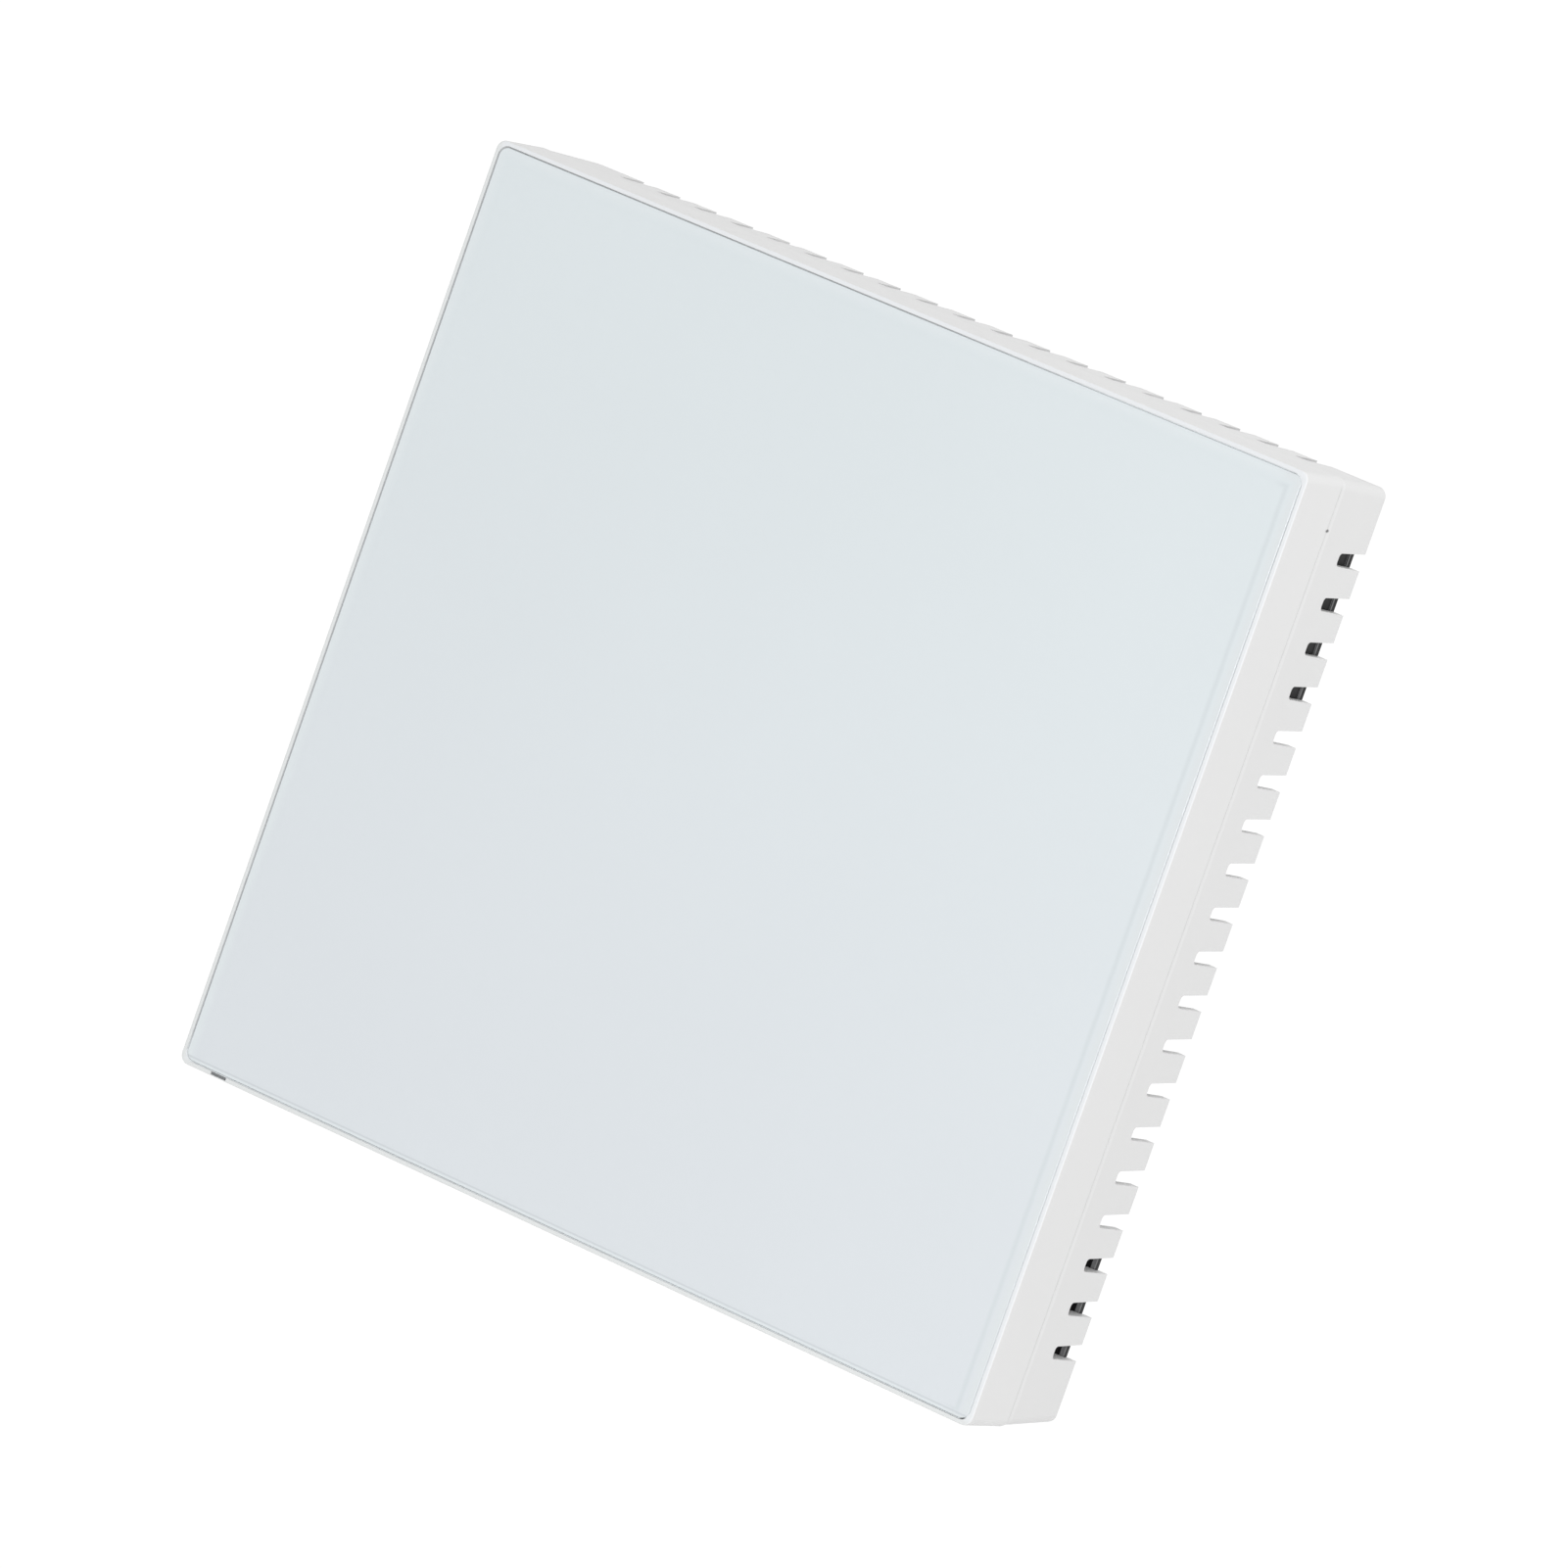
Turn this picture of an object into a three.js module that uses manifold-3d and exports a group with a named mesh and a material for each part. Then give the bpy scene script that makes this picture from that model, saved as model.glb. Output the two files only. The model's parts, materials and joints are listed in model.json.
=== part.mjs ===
// A square wall thermostat with a flush glass front.
// The front unit hangs on two hooks of a black wall plate and tilts out about its top rear edge.
// Millimetres. X is right seen from the front, Z is up, and +Y goes into the wall, which is y = 0.
import * as THREE from "three";
import { mergeVertices } from "three/addons/utils/BufferGeometryUtils.js";
import Module from "manifold-3d";

const wasm = await Module();
wasm.setup();

// ---- Driving dimensions -------------------------------------------------------------------

// Casing, seen from the front
const frontWidth = 86; // across the front shell, both ways
const wallInset = 0.4; // the rear shell is this far inside the front shell at the wall
const seamInset = 0.12; // the rear shell sits this far inside the front shell at the seam
const cornerRadius = 0.9;
const edgeRadius = 0.3; // rounding of the front edge
const frontShellDepth = 6.2; // front face to seam
const seamGap = 0.2;
const frontWall = 1.2; // side wall of the front shell
const rimWidth = 0.32; // thin rim around the glass
const lipWall = 0.9; // lip of the rear shell, inside the front shell
const lipHeight = 1.4;
const lipClearance = 0.25;
const skirtWall = 0.85; // rear shell's wall where it meets the wall

// The stack from the wall to the glass
const recessDepth = 5.6; // room for the wall plate behind the divider
const dividerThickness = 1;
const dividerToBoard = 0.4;
const mainBoardThickness = 1.2;
const boardSpacing = 2.4;
const touchBoardThickness = 1;
const touchBoardToTray = 0.7;
const trayThickness = 1; // the front shell's floor behind the glass
const tapeThickness = 0.2;
const glassThickness = 1.6;

// Glass
const glassGap = 0.2; // dark line between the glass and the rim
const glassCorner = 0.7;
const glassChamfer = 0.25;
const tapeWidth = 3;
const prySlotWidth = 2; // slot between the glass and the rim for lifting the glass
const prySlotHeight = 0.4;
const prySlotFromSide = 4.5; // to its middle, on the left

// Vent comb along all four rear edges
const notchPitch = 4;
const notchCorner = 6; // no notch is nearer than this to a corner
const notchMouth = 1.5;
const notchEnd = 1.15;
const notchDepth = 4.7;
const notchFillet = 0.25;

// Wall plate
const plateClearance = 0.15; // flange to skirt
const flangeThickness = 0.7;
const flangeStep = 0.15; // the plate's edge wall is set in this far from the flange
const plateThickness = 1.6;
const plateEdgeWall = 1;
const plateWallClearance = 1.2; // edge wall to divider
const plateCorner = 1.5;
const waistDepth = 2.15; // long recess in each side edge
const waistFromTop = 19.5;
const waistFromBottom = 17;
const cableWidth = 32; // cable opening
const cableTop = -3.5;
const cableFromBottom = 19;
const cableCorner = 4;
const screwSpacing = 60.3; // screw slots, the spacing of a square wall box
const screwSlotWidth = 4.2;
const screwSlotLength = 8;

// The power bay: the rear shell bulges back through the wall plate
const bayFromSide = 13; // casing's side to the bay's inside
const bayFromTop = 7;
const bayBottom = 8;
const bayWall = 1;
const bayToWall = 0.4;
const bayClearance = 0.6; // bay to the plate's opening

// Hooks, catch
const hookX = 20;
const hookWidth = 6;
const hookThickness = 1;
const hookReach = 1.1;
const hookFromWall = 1.2;
const hookClearance = 0.8;
const catchWidth = 10;
const catchThickness = 0.9;
const catchFromEdge = 1.2; // catch to the skirt
const catchHeight = 3;
const barbHeight = 0.65;
const barbLength = 0.8;
const catchRibThickness = 0.8;
const catchRibReach = 0.25;
const catchClearance = 0.3;

// Terminals, three on each side
const terminalCount = 3;
const terminalPitch = 8;
const terminalFromSide = 14.3; // screw axis
const terminalFromBottom = 14.5; // last screw
const blockInner = 5.5; // screw axis to the wire side
const blockOuter = 5; // screw axis to the pin side
const blockEnd = 4.5; // end screws to the ends of the block
const cageSize = 5.2;
const cageWall = 0.7;
const cageOpening = 2.2; // clear height inside the cage
const cageTravel = 1.2;
const cageClearance = 0.3;
const cageBackGap = 0.1; // open cage to plate
const cageFrontGap = 0.1; // closed cage to the shelf under the screw head
const cageBarGap = 0.2; // cage to contact bar, closed
const shelfThickness = 0.4;
const headSunk = 0.15; // screw head below the block's face
const barThickness = 0.6;
const barWidth = 3;
const pinFromSide = 6.2;
const pinWidth = 0.8;
const pinLength = 2.2;
const pinClearance = 0.35;
const screwHeadRadius = 2.1;
const screwHeadHeight = 1.05;
const screwShankRadius = 1.2;
const screwClearance = 0.25; // screws and stakes in their holes
const driverSlot = 0.6;
const wireHoleWidth = 3.2;
const socketWidth = 2.8;
const socketGap = 0.3; // socket to contact bar
const pocketWall = 0.7;
const pocketClearance = 0.5;

// Boards and fasteners
const boardClearance = 0.6; // board edge to the lip
const boardCorner = 1;
const headerX = 0; // joins the two boards
const headerFromTop = 10;
const headerWidth = 18;
const headerHeight = 2.5;
const caseScrewFromSide = 6.6; // case screws, from the two sides of their corner
const bossRadius = 2.6;
const pilotRadius = 1.15;
const caseScrewRadius = 1;
const caseHeadRadius = 2;
const caseHeadHeight = 1;
const caseScrewLength = 5;
const boardScrewFromSide = 7.5;
const boardScrewFromTop = 21;
const boardScrewRadius = 0.8;
const boardHeadRadius = 1.6;
const boardHeadHeight = 0.9;
const boardScrewLength = 3.4;
const smallSlotWidth = 0.5; // driver slot in the case and board screws
const smallSlotDepth = 0.4;
const boardPostRadius = 1.8;
const boardPostDepth = 2.5; // behind the divider
const pilotClearance = 0.15;
const stakeFromSide = 10;
const stakeFromTop = 17;
const stakeBottom = -12;
const stakeRadius = 0.8;
const stakeShoulderRadius = 1.6; // the touch board rests on it
const stakeHeadRadius = 1.28;
const stakeHeadHeight = 0.8;

// Display and touch keys
const displayWidth = 50;
const displayHeight = 20;
const displayZ = 8;
const displayClearance = 0.3;
const digitCount = 4;
const digitPitch = 11.5;
const digitWidth = 6;
const digitHeight = 12;
const segmentWidth = 1.2;
const ledHeight = 0.5;
const ledInset = 0.2; // light bar to the edge of its window
const carrierThickness = 0.3;
const filmThickness = 0.2;
const keyCount = 4;
const keyPitch = 18;
const keyFromBottom = 17;
const springRadius = 3;
const springWire = 0.2;
const springTurns = 2;
const springTaper = 0.3; // share of its radius that the spring loses towards the glass
const keyHoleRadius = 4.5;

// Temperature sensor, low down behind its own slots in the divider
const sensorFromSide = 19;
const sensorFromBottom = 5.6;
const sensorVentHeight = 3.6;
const sensorRadius = 0.9;
const sensorLead = 1.4;
const sensorLeadPitch = 1.2;
const sensorLeadRadius = 0.2;

// Control chip on the touch board
const chipX = -12;
const chipZ = -10;
const chipWidth = 8;
const chipThickness = 1.4;

// Power parts, lying flat in the power bay
const transformerX = -6.5;
const transformerFromTop = 8.5; // bay's top to the transformer's middle
const transformerWidth = 11;
const transformerHeight = 12;
const coreThickness = 2.4;
const coreYoke = 2.2; // the core's top and bottom bars
const coreLeg = 1.6;
const windingClearance = 0.25;
const windingThickness = 4.8;
const capacitorFromSide = 7.5; // bay's left side to their middle
const capacitorFromTop = 6.5; // halfway between the two
const capacitorPitch = 6.4;
const capacitorRadius = 2.4;
const capacitorLength = 11;
const filmFromSide = 7;
const filmFromBottom = 9;
const filmWidth = 10;
const filmHeight = 4.5;
const filmDepth = 5;
const varistorX = -8;
const varistorFromBottom = 5;
const varistorRadius = 3.6;
const varistorThickness = 3;
const fuseFromSide = 9;
const fuseFromBottom = 4.5;
const fuseRadius = 1.5; // end caps
const fuseGlassRadius = 1.35;
const fuseLength = 9;
const fuseCapLength = 1.8;
const bridgeX = 6;
const bridgeFromBottom = 4;
const bridgeWidth = 6;
const bridgeHeight = 5;
const bridgeThickness = 1.6;

// Relay, lying flat in the power bay
const relayFromSide = 7.5; // bay's right side to the relay
const relayFromTop = 1.5;
const relayLength = 19;
const relayHeight = 15;
const relayThickness = 4.9;
const relayWall = 0.5;
const relayBaseThickness = 0.5;
const coilRadius = 1.6;
const coilFlange = 0.4;
const coilLength = 10;
const coilFromEnd = 2.2;
const coilUp = 5.4; // relay's lower side to the coil's axis
const coreRadius = 0.6;
const yokeThickness = 0.8;
const yokeUp = 1.6;
const armatureThickness = 0.7;
const armatureLength = 6.2;
const armatureGap = 0.3;
const armatureAngle = 5; // degrees, open
const contactArmLength = 4.6;
const contactArmThickness = 0.3;
const contactRadius = 0.6;
const contactHeight = 0.3;
const contactClosedGap = 0.1;
const fixedContactThickness = 0.5;
const fixedContactHeight = 3;

// Small gaps
const restGap = 0.04; // left between faces that touch
const overcut = 1; // how far a cutter runs past what it cuts

// ---- Sizes and places worked out from these ------------------------------------------------

const wallFace = 0;
const dividerBack = -recessDepth;
const dividerFront = dividerBack - dividerThickness;
const mainBoardBack = dividerFront - dividerToBoard;
const mainBoardFront = mainBoardBack - mainBoardThickness;
const touchBoardBack = mainBoardFront - boardSpacing;
const touchBoardFront = touchBoardBack - touchBoardThickness;
const trayBack = touchBoardFront - touchBoardToTray;
const trayFront = trayBack - trayThickness;
const glassBack = trayFront - tapeThickness;
const frontFace = glassBack - glassThickness;
const seam = frontFace + frontShellDepth;
const plateFront = -plateThickness;
const halfWidth = frontWidth / 2;
const wallWidth = frontWidth - 2 * wallInset;
const notchesPerHalf = Math.floor((wallWidth / 2 - notchCorner) / notchPitch);
const notchCount = 2 * notchesPerHalf + 1;
const prySlotX = prySlotFromSide - halfWidth;
const waistTop = halfWidth - waistFromTop;
const waistBottom = waistFromBottom - halfWidth;
const cableBottom = cableFromBottom - halfWidth;
const terminalX = halfWidth - terminalFromSide;
const terminalTop = terminalFromBottom - halfWidth + (terminalCount - 1) * terminalPitch;
const pinX = halfWidth - pinFromSide;
const headerZ = halfWidth - headerFromTop;
const caseScrewAt = halfWidth - caseScrewFromSide;
const boardScrewX = halfWidth - boardScrewFromSide;
const boardScrewZ = halfWidth - boardScrewFromTop;
const stakeX = halfWidth - stakeFromSide;
const stakeTop = halfWidth - stakeFromTop;
const keyZ = keyFromBottom - halfWidth;
const sensorX = sensorFromSide - halfWidth;
const sensorZ = sensorFromBottom - halfWidth;
const plateWallFront = dividerBack + plateWallClearance;
const lipOutside = frontWidth - 2 * (frontWall + lipClearance);
const lipInside = lipOutside - 2 * lipWall;
const boardWidth = lipInside - 2 * boardClearance;
const recessWidth = wallWidth - 2 * skirtWall;
const flangeWidth = recessWidth - 2 * plateClearance;
const bayBack = -bayToWall - bayWall;
const bayWidth = frontWidth - 2 * bayFromSide;
const bayTop = halfWidth - bayFromTop;
const bayLeft = -bayWidth / 2;
const transformerZ = bayTop - transformerFromTop;
const capacitorX = bayLeft + capacitorFromSide;
const capacitorZ = bayTop - capacitorFromTop;
const filmX = bayLeft + filmFromSide;
const filmZ = bayBottom + filmFromBottom;
const varistorZ = bayBottom + varistorFromBottom;
const fuseX = bayLeft + fuseFromSide;
const fuseZ = bayBottom + fuseFromBottom;
const bridgeZ = bayBottom + bridgeFromBottom;
const relayLeft = bayWidth / 2 - relayFromSide - relayLength;
const relayBottom = bayTop - relayFromTop - relayHeight;
const boardPostBack = dividerBack + boardPostDepth;
const barbBack = plateFront - catchHeight + barbLength;
const cageBack = plateFront - cageBackGap - cageTravel;
const cageFront = cageBack - 2 * cageWall - cageOpening;
const barBack = cageBack - cageWall - cageBarGap;
const barFront = barBack - barThickness;
const headSeat = cageFront - cageFrontGap - shelfThickness;
const blockFront = headSeat - screwHeadHeight - headSunk;

// ---- Shape helpers -------------------------------------------------------------------------

function toSolid(geometry) {
  const bare = geometry.clone();
  bare.deleteAttribute("normal");
  bare.deleteAttribute("uv");
  const merged = mergeVertices(bare, 1e-4);
  const mesh = new wasm.Mesh({
    numProp: 3,
    vertProperties: merged.attributes.position.array,
    triVerts: new Uint32Array(merged.index.array),
  });
  return new wasm.Manifold(mesh);
}

function toGeometry(solid) {
  const { vertProperties, triVerts } = solid.getMesh();
  const geometry = new THREE.BufferGeometry();
  geometry.setAttribute("position", new THREE.BufferAttribute(vertProperties, 3));
  geometry.setIndex(new THREE.BufferAttribute(triVerts, 1));
  geometry.computeVertexNormals();
  return geometry;
}

function join(solids) {
  return solids.reduce((whole, solid) => whole.add(solid));
}

function cut(solid, cutters) {
  return cutters.reduce((left, cutter) => left.subtract(cutter), solid);
}

// A box given by its two ends along each axis, in either order.
function block({ x, y, z }) {
  const size = [x, y, z].map(([from, to]) => Math.abs(to - from));
  const middle = [x, y, z].map(([from, to]) => (from + to) / 2);
  return toSolid(new THREE.BoxGeometry(...size).translate(...middle));
}

// A round bar along Y.
function rod({ x = 0, z = 0, y: [from, to], radius, sides = 16 }) {
  const bar = new THREE.CylinderGeometry(radius, radius, to - from, sides);
  return toSolid(bar.translate(x, (from + to) / 2, z));
}

// A round bar along X.
function barAlongX({ x: [from, to], y, z, radius, sides = 16 }) {
  const bar = new THREE.CylinderGeometry(radius, radius, to - from, sides);
  return toSolid(bar.rotateZ(Math.PI / 2).translate((from + to) / 2, y, z));
}

// A rounded rectangle around (x, z).
function roundedShape({ width, height = width, radius, x = 0, z = 0 }) {
  const right = width / 2 - radius;
  const top = height / 2 - radius;
  const shape = new THREE.Shape();
  shape.absarc(x + right, z + top, radius, 0, Math.PI / 2);
  shape.absarc(x - right, z + top, radius, Math.PI / 2, Math.PI);
  shape.absarc(x - right, z - top, radius, Math.PI, Math.PI * 1.5);
  shape.absarc(x + right, z - top, radius, Math.PI * 1.5, Math.PI * 2);
  return shape;
}

// A shape drawn in X and Z, given thickness from one depth to another.
function sheet(shape, [from, to], curveSegments = 4) {
  const options = { depth: to - from, bevelEnabled: false, curveSegments };
  const geometry = new THREE.ExtrudeGeometry(shape, options);
  return toSolid(geometry.rotateX(Math.PI / 2).translate(0, to, 0));
}

function roundedSheet(outline, depths, curveSegments) {
  return sheet(roundedShape(outline), depths, curveSegments);
}

// A solid skinned over rounded squares, one at each depth, all with the same number of points.
function skinned(levels, curveSegments = 6) {
  const rings = levels.map((level) => roundedShape(level).extractPoints(curveSegments).shape);
  const count = rings[0].length;
  const positions = levels.flatMap(({ y }, ring) =>
    rings[ring].flatMap((point) => [point.x, y, point.y]),
  );
  const faces = [];
  for (let ring = 0; ring + 1 < rings.length; ring += 1) {
    for (let i = 0; i < count; i += 1) {
      const next = (i + 1) % count;
      const [near, far] = [ring * count, (ring + 1) * count];
      faces.push(near + i, far + next, near + next, near + i, far + i, far + next);
    }
  }
  const last = (rings.length - 1) * count;
  for (const [a, b, c] of THREE.ShapeUtils.triangulateShape(rings[0], [])) {
    faces.push(a, b, c, last + a, last + c, last + b);
  }
  const geometry = new THREE.BufferGeometry();
  geometry.setAttribute("position", new THREE.Float32BufferAttribute(positions, 3));
  geometry.setIndex(faces);
  return toSolid(geometry);
}

function sides(make) {
  return [-1, 1].map(make);
}

// The four places (±x, ±z).
function corners(x, z = x) {
  return [[-x, -z], [x, -z], [x, z], [-x, z]];
}

function piece(name, solid, color, roughness, metalness = 0) {
  const material = new THREE.MeshStandardMaterial({ color, roughness, metalness });
  const mesh = new THREE.Mesh(toGeometry(solid), material);
  mesh.name = name;
  return mesh;
}

// ---- Front shell, glass and tape -----------------------------------------------------------

const stakePlaces = [stakeTop, stakeBottom].flatMap((z) => sides((side) => [side * stakeX, z]));
const caseScrewPlaces = corners(caseScrewAt);
const keyPlaces = Array.from({ length: keyCount }, (_, i) => (i - (keyCount - 1) / 2) * keyPitch);
const glassWidth = frontWidth - 2 * (rimWidth + glassGap);
const trayOpening = displayWidth + 2 * displayClearance;

function frontShell() {
  const outside = [0, 1, 2, 3].map((step) => {
    const angle = (step / 3) * (Math.PI / 2);
    const inset = edgeRadius * (1 - Math.sin(angle));
    return {
      y: frontFace + edgeRadius * (1 - Math.cos(angle)),
      width: frontWidth - 2 * inset,
      radius: cornerRadius - inset,
    };
  });
  const shell = skinned([...outside, { y: seam, width: frontWidth, radius: cornerRadius }]);
  const glassSeat = roundedSheet(
    { width: frontWidth - 2 * rimWidth, radius: glassCorner + glassGap },
    [frontFace - overcut, trayFront],
  );
  const hollow = roundedSheet(
    { width: frontWidth - 2 * frontWall, radius: cornerRadius / 2 },
    [trayBack, seam + overcut],
  );
  const window = block({
    x: [-trayOpening / 2, trayOpening / 2],
    y: [trayFront - overcut, trayBack + overcut],
    z: [displayZ - displayHeight / 2 - displayClearance, displayZ + displayHeight / 2 + displayClearance],
  });
  const keyHoles = keyPlaces.map((x) =>
    rod({ x, z: keyZ, y: [trayFront - overcut, trayBack + overcut], radius: keyHoleRadius }),
  );
  const prySlot = block({
    x: [prySlotX - prySlotWidth / 2, prySlotX + prySlotWidth / 2],
    y: [frontFace - overcut, trayBack + overcut],
    z: [-glassWidth / 2 - prySlotHeight, -glassWidth / 2],
  });
  const postRoot = trayBack - trayThickness / 2;
  const bosses = caseScrewPlaces.map(([x, z]) =>
    rod({ x, z, y: [postRoot, dividerFront - restGap], radius: bossRadius }),
  );
  const pilots = caseScrewPlaces.map(([x, z]) =>
    rod({ x, z, y: [trayBack + trayThickness / 2, dividerFront + overcut], radius: pilotRadius, sides: 12 }),
  );
  const stakes = stakePlaces.flatMap(([x, z]) => [
    rod({ x, z, y: [postRoot, touchBoardBack + stakeHeadHeight / 2], radius: stakeRadius }),
    rod({ x, z, y: [postRoot, touchBoardFront - restGap], radius: stakeShoulderRadius }),
    rod({ x, z, y: [touchBoardBack + restGap, touchBoardBack + stakeHeadHeight], radius: stakeHeadRadius }),
  ]);
  const body = cut(shell, [glassSeat, hollow, window, ...keyHoles, prySlot]);
  return piece("front_shell", cut(join([body, ...bosses, ...stakes]), pilots), 0xe6e6e6, 0.42);
}

function glassPanel() {
  const solid = skinned([
    { y: frontFace, width: glassWidth - 2 * glassChamfer, radius: glassCorner },
    { y: frontFace + glassChamfer, width: glassWidth, radius: glassCorner + glassChamfer / 2 },
    { y: glassBack - restGap, width: glassWidth, radius: glassCorner + glassChamfer / 2 },
  ]);
  return piece("glass_panel", solid, 0xdfe8ec, 0.08);
}

function panelTape() {
  const tapeOutside = glassWidth - 2 * glassGap;
  const depths = [glassBack, trayFront - restGap];
  const outer = roundedSheet({ width: tapeOutside, radius: glassCorner }, depths);
  const inner = roundedSheet(
    { width: tapeOutside - 2 * tapeWidth, radius: glassCorner },
    [glassBack - overcut, trayFront + overcut],
  );
  return piece("panel_tape", outer.subtract(inner), 0x2b2b2d, 0.9);
}

// ---- Rear shell ----------------------------------------------------------------------------

const terminalPlaces = Array.from({ length: terminalCount }, (_, i) => terminalTop - i * terminalPitch);
const blockTop = terminalPlaces[0] + blockEnd;
const blockBottom = terminalPlaces[terminalCount - 1] - blockEnd;
const socketInner = pinX - socketWidth / 2;
const socketOuter = pinX + socketWidth / 2;
const pocketFront = blockFront - pocketClearance;
const boardScrewPlaces = sides((side) => [side * boardScrewX, boardScrewZ]);

// One notch of the vent comb in the top wall, open at the wall and rounded at its closed end.
function notchCutter(x) {
  const widen = (notchMouth - notchEnd) / notchDepth;
  const mouth = notchMouth / 2 + (widen / 2) * overcut;
  const end = notchEnd / 2;
  const shape = new THREE.Shape();
  shape.moveTo(-mouth, overcut);
  shape.lineTo(-end, -notchDepth + notchFillet);
  shape.quadraticCurveTo(-end, -notchDepth, -end + notchFillet, -notchDepth);
  shape.lineTo(end - notchFillet, -notchDepth);
  shape.quadraticCurveTo(end, -notchDepth, end, -notchDepth + notchFillet);
  shape.lineTo(mouth, overcut);
  const height = (frontWidth - recessWidth) / 2 + 2 * overcut;
  const options = { depth: height, bevelEnabled: false, curveSegments: 2 };
  return new THREE.ExtrudeGeometry(shape, options).translate(x, 0, recessWidth / 2 - overcut);
}

function combCutters() {
  return [0, 1, 2, 3].flatMap((wall) =>
    Array.from({ length: notchCount }, (_, i) => {
      const along = (i - (notchCount - 1) / 2) * notchPitch;
      return toSolid(notchCutter(along).rotateY((wall * Math.PI) / 2));
    }),
  );
}

// The space over one terminal block, or with a margin the walls around that space.
function terminalPocket(side, margin) {
  return block({
    x: [
      side * (terminalX - blockInner - pocketClearance - margin),
      side * (terminalX + blockOuter + pocketClearance + margin),
    ],
    y: [pocketFront - margin, dividerBack + (margin ? 0 : overcut)],
    z: [blockBottom - pocketClearance - margin, blockTop + pocketClearance + margin],
  });
}

function rearShell() {
  const outside = skinned([
    { y: seam + seamGap, width: frontWidth - 2 * seamInset, radius: cornerRadius },
    { y: wallFace, width: wallWidth, radius: cornerRadius },
  ]);
  const innerCorner = cornerRadius / 2;
  const lip = roundedSheet(
    { width: lipOutside, radius: innerCorner },
    [seam - lipHeight, seam + seamGap + overcut],
  );
  const cavity = roundedSheet(
    { width: lipInside, radius: innerCorner },
    [seam - lipHeight - overcut, dividerFront],
  );
  const recess = roundedSheet({ width: recessWidth, radius: plateCorner }, [dividerBack, overcut]);
  const bayOutside = block({
    x: [bayLeft - bayWall, -bayLeft + bayWall],
    y: [dividerFront, -bayToWall],
    z: [bayBottom - bayWall, bayTop + bayWall],
  });
  const bayInside = block({
    x: [bayLeft, -bayLeft],
    y: [dividerFront - overcut, bayBack],
    z: [bayBottom, bayTop],
  });
  const pocketWalls = sides((side) => terminalPocket(side, pocketWall));
  const pockets = sides((side) => terminalPocket(side, 0));
  const socketHoles = sides((side) =>
    block({
      x: [side * (socketInner - socketGap / 2), side * (socketOuter + pinClearance)],
      y: [dividerFront - overcut, dividerBack + overcut],
      z: [blockBottom - pinClearance, blockTop + pinClearance],
    }),
  );
  const posts = boardScrewPlaces.map(([x, z]) =>
    rod({ x, z, y: [mainBoardBack + restGap, boardPostBack], radius: boardPostRadius }),
  );
  const postHoles = boardScrewPlaces.map(([x, z]) =>
    rod({
      x,
      z,
      y: [mainBoardBack - overcut, mainBoardFront + boardScrewLength + pilotClearance],
      radius: boardScrewRadius + pilotClearance,
      sides: 12,
    }),
  );
  const screwHoles = caseScrewPlaces.map(([x, z]) =>
    rod({ x, z, y: [dividerFront - overcut, dividerBack + overcut], radius: pilotRadius, sides: 12 }),
  );
  const sensorVents = [-1, 0, 1].map((i) =>
    block({
      x: [sensorX + i * notchPitch - notchMouth / 2, sensorX + i * notchPitch + notchMouth / 2],
      y: [dividerFront - overcut, dividerBack + overcut],
      z: [sensorZ - sensorVentHeight / 2, sensorZ + sensorVentHeight / 2],
    }),
  );
  const hookRibs = sides((side) =>
    block({
      x: [side * hookX - hookWidth / 2, side * hookX + hookWidth / 2],
      y: [-hookFromWall - hookThickness, -hookFromWall],
      z: [recessWidth / 2 - hookReach, recessWidth / 2 + skirtWall / 2],
    }),
  );
  const catchRib = block({
    x: [-catchWidth / 2, catchWidth / 2],
    y: [barbBack + catchClearance, barbBack + catchClearance + catchRibThickness],
    z: [-recessWidth / 2 - skirtWall / 2, -recessWidth / 2 + catchRibReach],
  });
  const shell = join([outside, lip]).subtract(cavity).subtract(recess);
  const walled = join([shell, bayOutside, ...pocketWalls, ...posts]);
  const holes = [...socketHoles, ...postHoles, ...screwHoles, ...sensorVents];
  const hollowed = cut(walled, [bayInside, ...pockets, ...holes]);
  const combed = cut(hollowed, combCutters());
  return piece("rear_shell", join([combed, ...hookRibs, catchRib]), 0xe3e3e3, 0.45);
}

// ---- Wall plate and catch ------------------------------------------------------------------

// The plate's outline, a rounded square with a long recess in each side edge.
function plateSolid(width, depths) {
  const square = roundedSheet({ width, radius: plateCorner }, depths);
  const recesses = sides((side) =>
    roundedSheet(
      {
        width: 4 * waistDepth,
        height: waistTop - waistBottom,
        radius: waistDepth,
        x: side * (width / 2 + waistDepth),
        z: (waistTop + waistBottom) / 2,
      },
      [depths[0] - overcut, depths[1] + overcut],
    ),
  );
  return cut(square, recesses);
}

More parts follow.
